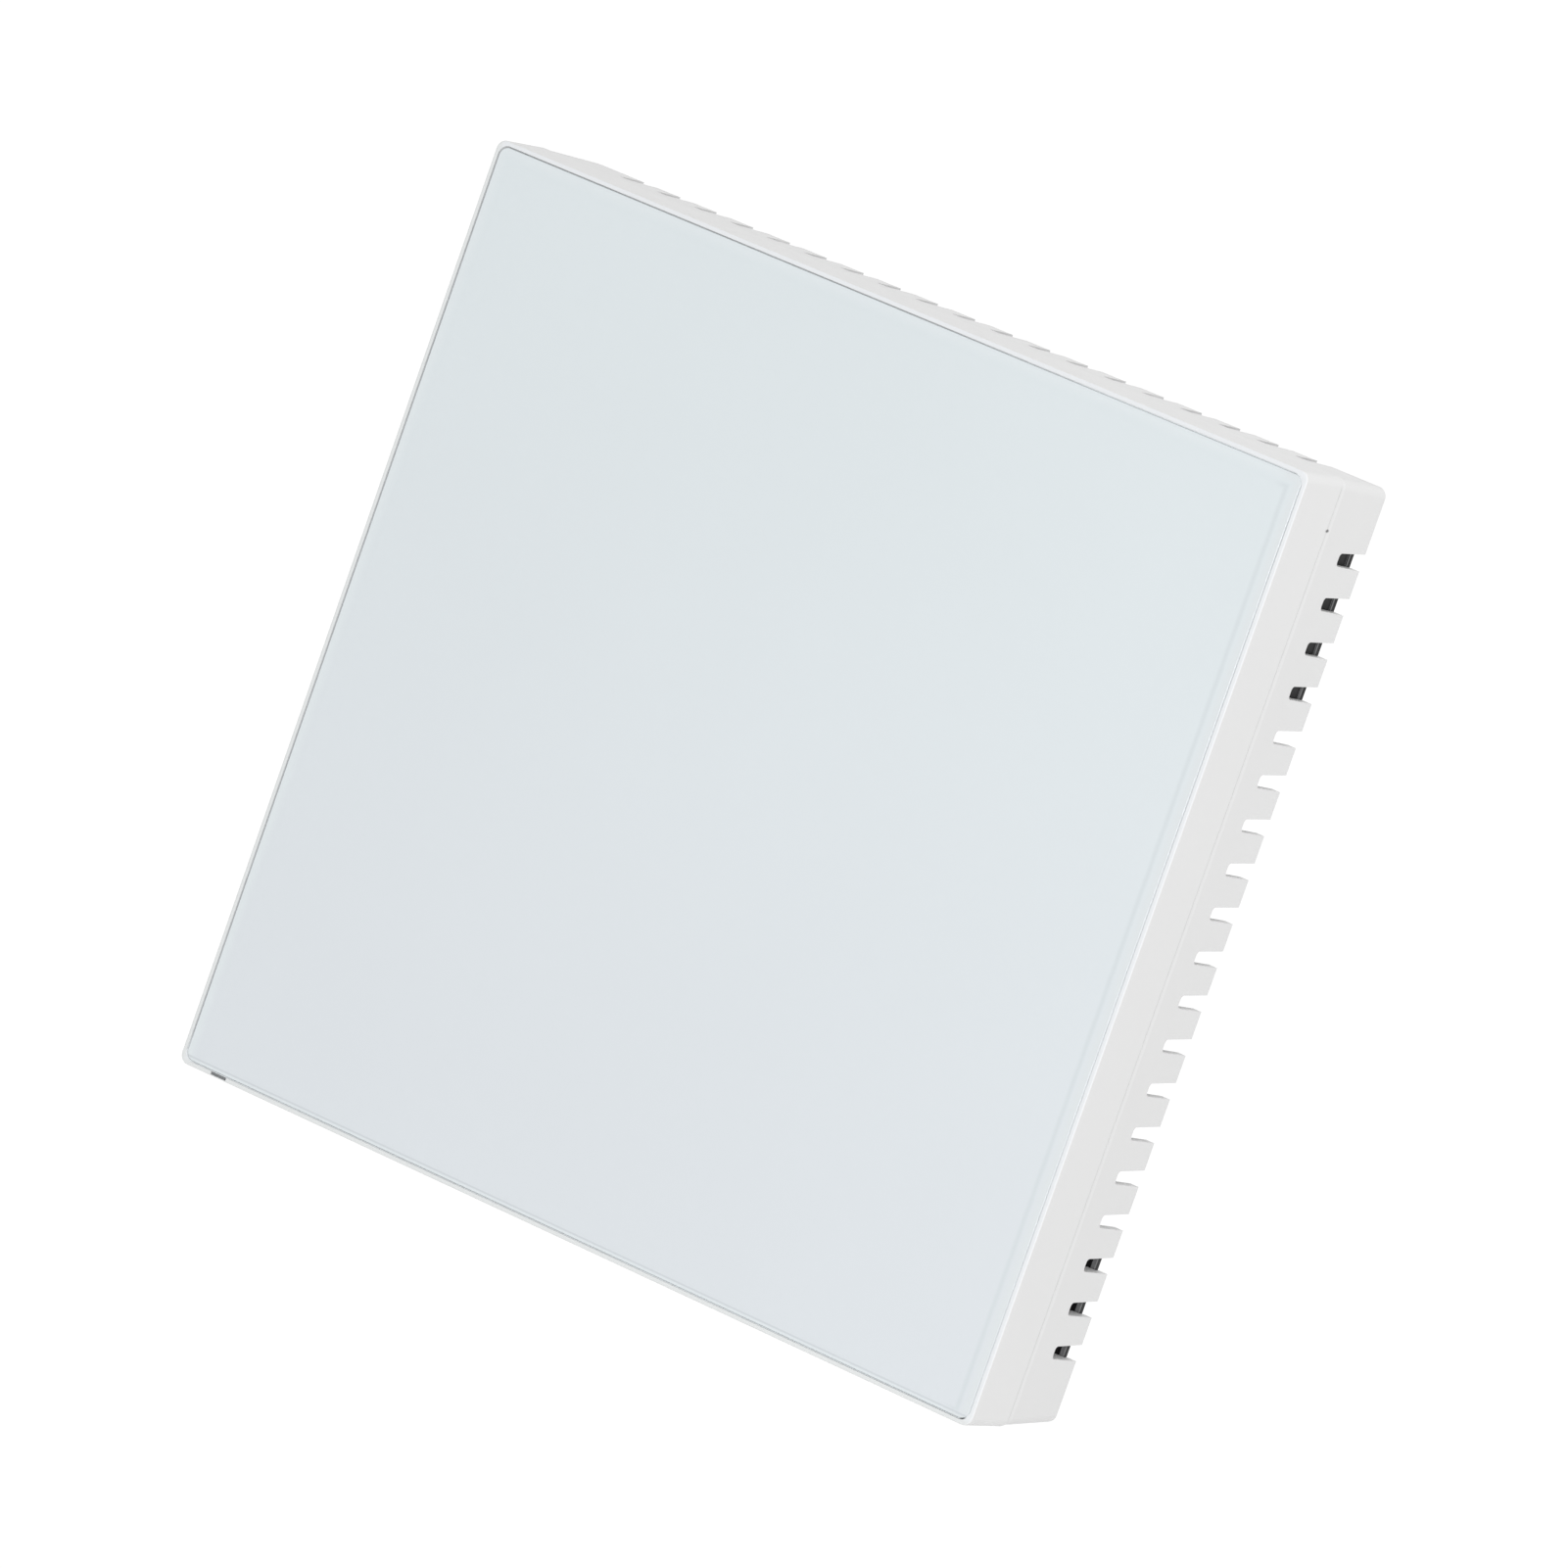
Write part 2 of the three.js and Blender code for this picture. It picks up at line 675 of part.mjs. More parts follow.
function wallPlate() {
  const edgeWidth = flangeWidth - 2 * flangeStep;
  const flange = plateSolid(flangeWidth, [-flangeThickness, wallFace]);
  const base = plateSolid(edgeWidth, [plateFront, -flangeThickness / 2]);
  const edge = plateSolid(edgeWidth, [plateWallFront, plateFront + plateThickness / 4]).subtract(
    plateSolid(edgeWidth - 2 * plateEdgeWall, [plateWallFront - overcut, plateFront + overcut]),
  );
  const through = [plateWallFront - overcut, overcut];
  const bayOpening = roundedSheet(
    {
      width: bayWidth + 2 * (bayWall + bayClearance),
      height: bayTop - bayBottom + 2 * (bayWall + bayClearance),
      radius: bayClearance,
      z: (bayTop + bayBottom) / 2,
    },
    through,
  );
  const cableOpening = roundedSheet(
    {
      width: cableWidth,
      height: cableTop - cableBottom,
      radius: cableCorner,
      z: (cableTop + cableBottom) / 2,
    },
    through,
  );
  const screwSlots = sides((side) =>
    roundedSheet(
      {
        width: screwSlotLength,
        height: screwSlotWidth,
        radius: screwSlotWidth / 2 - restGap,
        x: (side * screwSpacing) / 2,
      },
      through,
    ),
  );
  const hookWindows = sides((side) =>
    block({
      x: [
        side * hookX - hookWidth / 2 - hookClearance,
        side * hookX + hookWidth / 2 + hookClearance,
      ],
      y: [-hookFromWall - hookThickness - hookClearance, -flangeThickness],
      z: [recessWidth / 2 - hookReach - hookClearance / 2, flangeWidth / 2 + overcut],
    }),
  );
  const catchGap = block({
    x: [-catchWidth / 2 - catchFromEdge, catchWidth / 2 + catchFromEdge],
    y: [plateWallFront - overcut, plateFront],
    z: [-flangeWidth / 2 - overcut, -flangeWidth / 2 + 2 * plateEdgeWall],
  });
  const openings = [bayOpening, cableOpening, ...screwSlots, ...hookWindows, catchGap];
  return piece("wall_plate", cut(join([flange, base, edge]), openings), 0x1c1c1e, 0.6);
}

// A springy tongue that stands on the plate and snaps behind a rib in the bottom of the rear shell.
function releaseCatch() {
  const outerFace = -recessWidth / 2 + catchFromEdge;
  const across = [-catchWidth / 2, catchWidth / 2];
  const tongue = block({
    x: across,
    y: [plateFront - catchHeight, plateFront - restGap],
    z: [outerFace, outerFace + catchThickness],
  });
  const barb = block({
    x: across,
    y: [plateFront - catchHeight, barbBack],
    z: [outerFace - barbHeight, outerFace + catchThickness / 2],
  });
  return piece("release_catch", join([tongue, barb]), 0x1c1c1e, 0.6);
}

// ---- Terminals -----------------------------------------------------------------------------

function terminalBlock(name, side) {
  const column = block({
    x: [side * (terminalX - blockInner), side * (terminalX + blockOuter)],
    y: [blockFront, plateFront - restGap],
    z: [blockBottom, blockTop],
  });
  const ledge = block({
    x: [side * terminalX, side * (pinX + pinWidth)],
    y: [barBack + restGap, plateFront - restGap],
    z: [blockBottom, blockTop],
  });
  const hollows = terminalPlaces.flatMap((z) => {
    const x = side * terminalX;
    const cageRoom = cageSize / 2 + cageClearance;
    const barRoom = barWidth / 2 + restGap;
    return [
      block({
        x: [x - cageRoom, x + cageRoom],
        y: [cageFront - cageFrontGap, wallFace],
        z: [z - cageRoom, z + cageRoom],
      }),
      rod({ x, z, y: [blockFront - overcut, headSeat], radius: screwHeadRadius + screwClearance }),
      rod({ x, z, y: [headSeat - overcut, cageFront], radius: screwShankRadius + screwClearance }),
      block({
        x: [x, side * (terminalX + blockOuter + overcut)],
        y: [barFront - restGap, barBack + restGap],
        z: [z - barRoom, z + barRoom],
      }),
      block({
        x: [x, side * (terminalX - blockInner - overcut)],
        y: [barBack + restGap, cageBack + cageTravel],
        z: [z - wireHoleWidth / 2, z + wireHoleWidth / 2],
      }),
    ];
  });
  return piece(name, cut(join([column, ledge]), hollows), 0x2e5e46, 0.5);
}

// A flat bar through the cage that turns forward into a pin.
function contactPin(name, side, z) {
  const pinOuter = side * (pinX + barThickness / 2);
  const bar = block({
    x: [side * (terminalX - cageSize / 2), pinOuter],
    y: [barFront, barBack],
    z: [z - barWidth / 2, z + barWidth / 2],
  });
  const pin = block({
    x: [side * (pinX - barThickness / 2), pinOuter],
    y: [barFront - pinLength, barBack],
    z: [z - pinWidth / 2, z + pinWidth / 2],
  });
  return piece(name, bar.add(pin), 0xd8b56a, 0.3, 1);
}

function terminalScrew(name, x, z) {
  const headFront = headSeat - screwHeadHeight - restGap;
  const head = rod({ y: [headFront, headSeat - restGap], radius: screwHeadRadius });
  const shank = rod({ y: [headSeat - overcut / 2, barFront - restGap], radius: screwShankRadius });
  const slot = block({
    x: [-screwHeadRadius - overcut, screwHeadRadius + overcut],
    y: [headFront - overcut, headFront + driverSlot],
    z: [-driverSlot / 2, driverSlot / 2],
  });
  const screw = piece(name, head.add(shank).subtract(slot), 0xc9cbce, 0.3, 1);
  screw.position.set(x, 0, z);
  return screw;
}

// A square cage open to both sides, whose front wall is the nut on the screw.
function terminalCage(name, x, z) {
  const half = cageSize / 2;
  const body = block({ x: [-half, half], y: [cageFront, cageBack], z: [-half, half] });
  const opening = block({
    x: [-half - overcut, half + overcut],
    y: [cageFront + cageWall, cageBack - cageWall],
    z: [-half + cageWall, half - cageWall],
  });
  const threadHole = rod({
    y: [cageFront - overcut, cageFront + cageWall + overcut],
    radius: screwShankRadius + screwClearance / 2,
  });
  const cage = piece(name, cut(body, [opening, threadHole]), 0xd8b56a, 0.35, 1);
  cage.position.set(x, 0, z);
  return cage;
}

// ---- Boards --------------------------------------------------------------------------------

const cornerCut = caseScrewAt - bossRadius - boardClearance;

function boardSolid(depths) {
  const board = roundedSheet({ width: boardWidth, radius: boardCorner }, depths);
  const cornerCuts = corners(1).map(([sideX, sideZ]) =>
    block({
      x: [sideX * cornerCut, sideX * boardWidth],
      y: [depths[0] - overcut, depths[1] + overcut],
      z: [sideZ * cornerCut, sideZ * boardWidth],
    }),
  );
  return cut(board, cornerCuts);
}

function touchBoard() {
  const depths = [touchBoardFront, touchBoardBack];
  const beyond = [depths[0] - overcut, depths[1] + overcut];
  const stakeHoles = stakePlaces.map(([x, z]) =>
    rod({ x, z, y: beyond, radius: stakeRadius + screwClearance, sides: 12 }),
  );
  return piece("touch_board", cut(boardSolid(depths), stakeHoles), 0x1f5b3a, 0.5);
}

// Full width above, with a wing down each side of the terminals to carry the sockets.
function mainBoard() {
  const depths = [mainBoardFront, mainBoardBack];
  const beyond = [depths[0] - overcut, depths[1] + overcut];
  const terminalRoom = block({
    x: [-socketInner + socketGap, socketInner - socketGap],
    y: beyond,
    z: [-boardWidth, blockTop + pocketClearance + pocketWall + boardClearance],
  });
  const screwHoles = boardScrewPlaces.map(([x, z]) =>
    rod({ x, z, y: beyond, radius: boardScrewRadius + pilotClearance, sides: 12 }),
  );
  return piece("main_board", cut(boardSolid(depths), [terminalRoom, ...screwHoles]), 0x1f5b3a, 0.5);
}

function socketStrip(name, side) {
  const strip = block({
    x: [side * socketInner, side * socketOuter],
    y: [mainBoardBack + restGap, barFront - socketGap],
    z: [blockBottom, blockTop],
  });
  const holes = terminalPlaces.map((z) =>
    block({
      x: [
        side * pinX - barThickness / 2 - pinClearance,
        side * pinX + barThickness / 2 + pinClearance,
      ],
      y: [mainBoardBack - overcut, barFront],
      z: [z - pinWidth / 2 - pinClearance, z + pinWidth / 2 + pinClearance],
    }),
  );
  return piece(name, cut(strip, holes), 0x222224, 0.55);
}

function boardHeader() {
  const solid = block({
    x: [headerX - headerWidth / 2, headerX + headerWidth / 2],
    y: [touchBoardBack + restGap, mainBoardFront - restGap],
    z: [headerZ - headerHeight / 2, headerZ + headerHeight / 2],
  });
  return piece("board_header", solid, 0x222224, 0.55);
}

// A screw along Y with a slotted head. Direction is +1 when it is driven towards the wall.
function slottedScrew(name, [x, z], { seat, direction, headRadius, headHeight, radius, length }) {
  const ends = (from, to) => [from * direction, to * direction].sort((a, b) => a - b);
  const head = rod({ y: ends(-headHeight - restGap, -restGap), radius: headRadius });
  const shank = rod({ y: ends(-headHeight / 2, length), radius });
  const slot = block({
    x: [-headRadius - overcut, headRadius + overcut],
    y: ends(-headHeight - overcut, smallSlotDepth - headHeight),
    z: [-smallSlotWidth / 2, smallSlotWidth / 2],
  });
  const screw = piece(name, head.add(shank).subtract(slot), 0xb9bcc0, 0.3, 1);
  screw.position.set(x, seat, z);
  return screw;
}

// ---- Display, touch keys and sensor --------------------------------------------------------

const digitPlaces = Array.from(
  { length: digitCount },
  (_, i) => (i - (digitCount - 1) / 2) * digitPitch,
);

// The seven bars of one digit around x, as [centre x, centre z, width, height].
function segments(x) {
  const arm = digitHeight / 2 - segmentWidth;
  const level = [-1, 0, 1].map((step) => [
    x,
    displayZ + (step * (digitHeight - segmentWidth)) / 2,
    digitWidth - 2 * segmentWidth,
    segmentWidth,
  ]);
  const upright = corners(1).map(([sideX, sideZ]) => [
    x + (sideX * (digitWidth - segmentWidth)) / 2,
    displayZ + (sideZ * digitHeight) / 4,
    segmentWidth,
    arm - segmentWidth / 2,
  ]);
  return [...level, ...upright];
}

function segmentBlocks(y, shrink) {
  return digitPlaces.flatMap(segments).map(([x, z, width, height]) =>
    block({
      x: [x - width / 2 + shrink, x + width / 2 - shrink],
      y,
      z: [z - height / 2 + shrink, z + height / 2 - shrink],
    }),
  );
}

function displayPlate(depths) {
  return block({
    x: [-displayWidth / 2, displayWidth / 2],
    y: depths,
    z: [displayZ - displayHeight / 2, displayZ + displayHeight / 2],
  });
}

function displayFilm() {
  const solid = displayPlate([glassBack + restGap, glassBack + restGap + filmThickness]);
  return piece("display_film", solid, 0xf4f6f8, 0.6);
}

function displayShade() {
  const depths = [
    glassBack + filmThickness + 2 * restGap,
    touchBoardFront - carrierThickness - 2 * restGap,
  ];
  const through = [depths[0] - overcut, depths[1] + overcut];
  return piece("display_shade", cut(displayPlate(depths), segmentBlocks(through, 0)), 0xf2f2f0, 0.5);
}

// The light bars of all four digits on one thin carrier.
function displayLeds() {
  const back = touchBoardFront - restGap;
  const carrier = displayPlate([back - carrierThickness, back]);
  const bars = segmentBlocks([back - carrierThickness - ledHeight, back - carrierThickness / 2], ledInset);
  return piece("display_leds", join([carrier, ...bars]), 0xfff3c4, 0.4);
}

// A short coil spring that presses on the back of the glass under a touch key.
function touchSpring(name, x) {
  const first = -restGap - springWire;
  const last = glassBack - touchBoardFront + restGap + springWire;
  const helix = new THREE.Curve();
  helix.getPoint = (t, target = new THREE.Vector3()) => {
    const angle = t * springTurns * 2 * Math.PI;
    const reach = springRadius * (1 - springTaper * t);
    return target.set(reach * Math.cos(angle), first + (last - first) * t, reach * Math.sin(angle));
  };
  const section = new THREE.Shape();
  section.absarc(0, 0, springWire, 0, 2 * Math.PI);
  const wire = { steps: 10 * springTurns, curveSegments: 2, bevelEnabled: false, extrudePath: helix };
  const spring = piece(name, toSolid(new THREE.ExtrudeGeometry(section, wire)), 0xd9c07a, 0.3, 1);
  spring.position.set(x, touchBoardFront, keyZ);
  return spring;
}

function touchSprings() {
  return keyPlaces.map((x, i) => touchSpring(`touch_spring_${i + 1}`, x));
}

function controlChip() {
  const solid = block({
    x: [chipX - chipWidth / 2, chipX + chipWidth / 2],
    y: [touchBoardBack + restGap, touchBoardBack + restGap + chipThickness],
    z: [chipZ - chipWidth / 2, chipZ + chipWidth / 2],
  });
  return piece("control_chip", solid, 0x18181a, 0.4);
}

function temperatureSensor() {
  const beadY = touchBoardBack + sensorLead + sensorRadius;
  const bead = toSolid(new THREE.SphereGeometry(sensorRadius, 12, 8).translate(sensorX, beadY, sensorZ));
  const leads = sides((side) =>
    rod({
      x: sensorX + (side * sensorLeadPitch) / 2,
      z: sensorZ,
      y: [touchBoardBack + restGap, beadY],
      radius: sensorLeadRadius,
      sides: 8,
    }),
  );
  return piece("temperature_sensor", join([bead, ...leads]), 0x20262c, 0.35);
}

// ---- Power parts in the bay ----------------------------------------------------------------

const bayFront = mainBoardBack + restGap;

// A box on the back of the main board, around (x, z).
function onMainBoard({ x, z, width, height, thickness, lift = 0 }) {
  return block({
    x: [x - width / 2, x + width / 2],
    y: [bayFront + lift, bayFront + lift + thickness],
    z: [z - height / 2, z + height / 2],
  });
}

const windowWidth = (transformerWidth - 3 * coreLeg) / 2;
const windowHeight = transformerHeight - 2 * coreYoke;
const coreLift = (windingThickness - coreThickness) / 2;

function transformerCore() {
  const outer = onMainBoard({
    x: transformerX,
    z: transformerZ,
    width: transformerWidth,
    height: transformerHeight,
    thickness: coreThickness,
    lift: coreLift,
  });
  const windows = sides((side) =>
    onMainBoard({
      x: transformerX + (side * (coreLeg + windowWidth)) / 2,
      z: transformerZ,
      width: windowWidth,
      height: windowHeight,
      thickness: coreThickness + 2 * overcut,
      lift: coreLift - overcut,
    }),
  );
  return piece("transformer_core", cut(outer, windows), 0x3a3a3c, 0.6);
}

// Wound round the core's middle leg.
function transformerWinding() {
  const outer = onMainBoard({
    x: transformerX,
    z: transformerZ,
    width: coreLeg + 2 * (windowWidth - windingClearance),
    height: windowHeight - 2 * windingClearance,
    thickness: windingThickness,
  });
  const bore = onMainBoard({
    x: transformerX,
    z: transformerZ,
    width: coreLeg + 2 * windingClearance,
    height: transformerHeight,
    thickness: coreThickness + 2 * windingClearance,
    lift: coreLift - windingClearance,
  });
  return piece("transformer_winding", outer.subtract(bore), 0xb9772e, 0.5);
}

function bulkCapacitors() {
  return sides((side) => {
    const can = barAlongX({
      x: [capacitorX - capacitorLength / 2, capacitorX + capacitorLength / 2],
      y: bayFront + capacitorRadius,
      z: capacitorZ + (side * capacitorPitch) / 2,
      radius: capacitorRadius,
    });
    return piece(side < 0 ? "bulk_capacitor_1" : "bulk_capacitor_2", can, 0x2a3350, 0.4);
  });
}

function filmCapacitor() {
  const place = { x: filmX, z: filmZ, width: filmWidth, height: filmHeight, thickness: filmDepth };
  return piece("film_capacitor", onMainBoard(place), 0xd9b23c, 0.5);
}

function varistor() {
  const solid = rod({
    x: varistorX,
    z: varistorZ,
    y: [bayFront, bayFront + varistorThickness],
    radius: varistorRadius,
  });
  return piece("varistor", solid, 0x2f62a8, 0.5);
}

function fuse() {
  const y = bayFront + fuseRadius;
  const half = fuseLength / 2;
  const glass = barAlongX({ x: [fuseX - half, fuseX + half], y, z: fuseZ, radius: fuseGlassRadius });
  const caps = sides((side) => {
    const ends = [fuseX + side * half, fuseX + side * (half - fuseCapLength)].sort((a, b) => a - b);
    return barAlongX({ x: ends, y, z: fuseZ, radius: fuseRadius });
  });
  return piece("fuse", join([glass, ...caps]), 0xc9ccd0, 0.3, 1);
}

function rectifierBridge() {
  const solid = onMainBoard({
    x: bridgeX,
    z: bridgeZ,
    width: bridgeWidth,
    height: bridgeHeight,
    thickness: bridgeThickness,
  });
  return piece("rectifier_bridge", solid, 0x1b1b1d, 0.45);
}

// ---- Relay ---------------------------------------------------------------------------------

const relayX = relayLeft + relayLength / 2;
const relayZ = relayBottom + relayHeight / 2;
const relayInside = bayFront + relayBaseThickness + restGap;
const relayMiddle = (relayInside + bayFront + relayThickness - relayWall) / 2;
const relayRoom = relayThickness - relayWall - relayBaseThickness - 2 * restGap;
const coilLeft = relayLeft + coilFromEnd;
const poleX = coilLeft + coilLength + armatureGap;
const coilZ = relayBottom + coilUp;
const yokeBottom = relayBottom + yokeUp;
const armaturePivotX = poleX + contactClosedGap;
const armaturePivotZ = yokeBottom + yokeThickness + armatureGap;

function relayBase() {
  const solid = onMainBoard({
    x: relayX,
    z: relayZ,
    width: relayLength,
    height: relayHeight,
    thickness: relayBaseThickness,
  });
  return piece("relay_base", solid, 0x1e2f4a, 0.5);
}

function relayCover() {
  const outer = onMainBoard({
    x: relayX,
    z: relayZ,
    width: relayLength,
    height: relayHeight,
    thickness: relayThickness - relayBaseThickness - restGap,
    lift: relayBaseThickness + restGap,
  });
  const inner = onMainBoard({
    x: relayX,
    z: relayZ,
    width: relayLength - 2 * relayWall,
    height: relayHeight - 2 * relayWall,
    thickness: relayThickness - relayWall,
  });
  return piece("relay_cover", outer.subtract(inner), 0x24406b, 0.45);
}

function relayCoil() {
  const place = { y: relayMiddle, z: coilZ };
  const right = coilLeft + coilLength;
  const winding = barAlongX({ ...place, x: [coilLeft, right], radius: coilRadius });
  const flanges = [[coilLeft, coilLeft + coilFlange], [right - coilFlange, right]].map((x) =>
    barAlongX({ ...place, x, radius: relayRoom / 2 - restGap }),
  );
  const bore = barAlongX({
    ...place,
    x: [coilLeft - overcut, right + overcut],
    radius: coreRadius + pilotClearance,
    sides: 12,
  });
  return piece("relay_coil", join([winding, ...flanges]).subtract(bore), 0xa4562a, 0.4);
}

// The iron core and the bent yoke that it is riveted to.
function relayYoke() {
  const width = [relayMiddle - coilRadius, relayMiddle + coilRadius];
  const plateX = coilLeft - 2 * restGap - yokeThickness;
  const core = barAlongX({
    x: [plateX + yokeThickness / 2, poleX],
    y: relayMiddle,
    z: coilZ,
    radius: coreRadius,
    sides: 12,
  });
  const endPlate = block({
    x: [plateX, plateX + yokeThickness],
    y: width,
    z: [yokeBottom, coilZ + coilRadius],
  });
  const bar = block({
    x: [plateX, armaturePivotX - armatureGap],
    y: width,
    z: [yokeBottom, yokeBottom + yokeThickness],
  });
  return piece("relay_yoke", join([core, endPlate, bar]), 0xa8abb0, 0.35, 1);
}

// Drawn closed against the pole and then swung open about the yoke's end.
function relayArmature() {
  const width = [-coilRadius, coilRadius];
  const tip = armatureLength + contactArmLength;
  const iron = block({ x: [0, armatureThickness], y: width, z: [0, armatureLength] });
  const arm = block({
    x: [0, contactArmThickness],
    y: [-coilRadius / 2, coilRadius / 2],
    z: [armatureLength - armatureThickness, tip],
  });
  const button = barAlongX({
    x: [-contactHeight, contactArmThickness],
    y: 0,
    z: tip - contactRadius,
    radius: contactRadius,
    sides: 12,
  });
  const armature = piece("relay_armature", join([iron, arm, button]), 0xb4b7bb, 0.35, 1);
  armature.position.set(armaturePivotX, relayMiddle, armaturePivotZ);
  armature.rotation.y = THREE.MathUtils.degToRad(armatureAngle);
  return armature;
}

function relayContact() {
  const middle = armaturePivotZ + armatureLength + contactArmLength - contactRadius;
  const face = armaturePivotX - contactHeight - contactClosedGap;
  const back = face - contactHeight - fixedContactThickness;
  const strip = block({
    x: [back, back + fixedContactThickness],
    y: [relayInside, relayMiddle + contactRadius],
    z: [middle - fixedContactHeight / 2, middle + fixedContactHeight / 2],
  });
  const button = barAlongX({
    x: [back, face],
    y: relayMiddle,
    z: middle,
    radius: contactRadius,
    sides: 12,
  });
  return piece("relay_contact", join([strip, button]), 0xc9a45a, 0.35, 1);
}

// ---- Assembly ------------------------------------------------------------------------------

function wallSide() {
  const group = new THREE.Group();
  group.add(wallPlate(), releaseCatch());
  const columns = [["left", -1], ["right", 1]];
  columns.forEach(([label, side], column) => {
    group.add(terminalBlock(`terminal_block_${label}`, side));
    terminalPlaces.forEach((z, i) => {
      const number = column * terminalCount + i + 1;
      group.add(terminalScrew(`terminal_screw_${number}`, side * terminalX, z));
      group.add(terminalCage(`terminal_cage_${number}`, side * terminalX, z));
      group.add(contactPin(`contact_pin_${number}`, side, z));
    });
  });
  return group;
}

function caseScrews() {
  const size = {
    seat: dividerBack,
    direction: -1,
    headRadius: caseHeadRadius,
    headHeight: caseHeadHeight,
    radius: caseScrewRadius,
    length: caseScrewLength,
  };
  return caseScrewPlaces.map((place, i) => slottedScrew(`case_screw_${i + 1}`, place, size));
}

function boardScrews() {
  const size = {
    seat: mainBoardFront,
    direction: 1,
    headRadius: boardHeadRadius,
    headHeight: boardHeadHeight,
    radius: boardScrewRadius,
    length: boardScrewLength,
  };
  return boardScrewPlaces.map((place, i) => slottedScrew(`board_screw_${i + 1}`, place, size));
}

function frontUnit() {
  const group = new THREE.Group();
  group.add(frontShell(), glassPanel(), panelTape(), rearShell(), ...caseScrews());
  group.add(displayFilm(), displayShade(), displayLeds(), ...touchSprings());
  group.add(touchBoard(), controlChip(), temperatureSensor(), boardHeader());
  group.add(mainBoard(), ...boardScrews());
  group.add(socketStrip("socket_strip_left", -1), socketStrip("socket_strip_right", 1));
  group.add(transformerCore(), transformerWinding(), ...bulkCapacitors(), filmCapacitor());
  group.add(varistor(), fuse(), rectifierBridge());
  group.add(relayBase(), relayCover(), relayCoil(), relayYoke(), relayArmature(), relayContact());
  return group;
}

const group = new THREE.Group();
group.add(wallSide(), frontUnit());
export default group;
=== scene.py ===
import json
import math

import bmesh
import bpy
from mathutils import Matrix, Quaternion, Vector

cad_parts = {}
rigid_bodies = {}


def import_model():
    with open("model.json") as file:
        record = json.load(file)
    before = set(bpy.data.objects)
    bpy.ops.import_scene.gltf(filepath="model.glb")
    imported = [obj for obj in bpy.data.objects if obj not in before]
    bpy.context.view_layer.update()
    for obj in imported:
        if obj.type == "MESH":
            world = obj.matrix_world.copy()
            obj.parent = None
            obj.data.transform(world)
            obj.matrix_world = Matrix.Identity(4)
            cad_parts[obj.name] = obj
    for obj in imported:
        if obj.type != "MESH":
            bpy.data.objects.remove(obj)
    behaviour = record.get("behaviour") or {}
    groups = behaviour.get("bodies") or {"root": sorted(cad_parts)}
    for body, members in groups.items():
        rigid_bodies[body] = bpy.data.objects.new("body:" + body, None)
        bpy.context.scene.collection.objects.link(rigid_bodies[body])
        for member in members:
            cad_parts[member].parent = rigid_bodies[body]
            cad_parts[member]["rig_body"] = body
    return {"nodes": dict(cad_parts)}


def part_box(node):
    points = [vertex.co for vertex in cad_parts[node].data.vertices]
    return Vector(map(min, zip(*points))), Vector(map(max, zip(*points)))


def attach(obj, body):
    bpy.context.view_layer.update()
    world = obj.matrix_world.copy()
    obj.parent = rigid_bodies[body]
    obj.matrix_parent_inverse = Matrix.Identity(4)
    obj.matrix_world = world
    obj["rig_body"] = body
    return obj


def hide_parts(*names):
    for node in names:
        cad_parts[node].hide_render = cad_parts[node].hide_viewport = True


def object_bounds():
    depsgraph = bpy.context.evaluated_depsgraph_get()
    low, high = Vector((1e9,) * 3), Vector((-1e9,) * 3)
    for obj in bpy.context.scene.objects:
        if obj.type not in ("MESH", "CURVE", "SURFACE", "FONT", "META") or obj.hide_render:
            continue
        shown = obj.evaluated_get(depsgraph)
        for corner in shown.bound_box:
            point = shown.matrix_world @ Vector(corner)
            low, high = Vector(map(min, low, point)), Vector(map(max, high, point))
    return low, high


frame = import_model()
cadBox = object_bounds()
mm = 0.001
overcut = 1 * mm  # how far a cutter runs past what it cuts
sides = (-1, 1)
corners = [(sideX, sideZ) for sideX in sides for sideZ in sides]
squareSigns = ((-1, -1), (1, -1), (1, 1), (-1, 1))
print("frame loaded with", len(frame["nodes"]), "nodes")


def inMm(value):
    # millimetres turned into metres, for a number or for a whole dictionary, list or tuple of them
    if isinstance(value, dict):
        return {key: inMm(part) for key, part in value.items()}
    if isinstance(value, (list, tuple)):
        return type(value)(inMm(part) for part in value)
    return value * mm


# Camera

cameraSet = {
    "aim": inMm((5.235, -15.1, 1.071)),
    "azimuth": 29.519,
    "elevation": 7.555,
    "roll": 19.45,
    "distance": 1.11324,
    "lens": 299.18,
    "sensor": 36,
}


def makeCamera():
    azimuth, elevation, roll = (math.radians(cameraSet[key]) for key in ("azimuth", "elevation", "roll"))
    back = Vector((
        math.sin(azimuth) * math.cos(elevation),
        -math.cos(azimuth) * math.cos(elevation),
        math.sin(elevation),
    ))
    data = bpy.data.cameras.new("studioCamera")
    data.lens = cameraSet["lens"]
    data.sensor_width = cameraSet["sensor"]
    data.clip_start, data.clip_end = 0.01, 100
    camera = bpy.data.objects.new("studioCamera", data)
    camera.location = Vector(cameraSet["aim"]) + back * cameraSet["distance"]
    camera.rotation_mode = "QUATERNION"
    camera.rotation_quaternion = (-back).to_track_quat("-Z", "Y") @ Quaternion((0, 0, 1), roll)
    bpy.context.scene.collection.objects.link(camera)
    bpy.context.scene.camera = camera


makeCamera()
print("camera in place")


# Node helpers, for materials and for Geometry Nodes alike. They all add to the tree that was begun last.

begun = {}


def begin(tree):
    begun["tree"] = tree
    return tree


def link(value, socket):
    begun["tree"].links.new(value, socket)


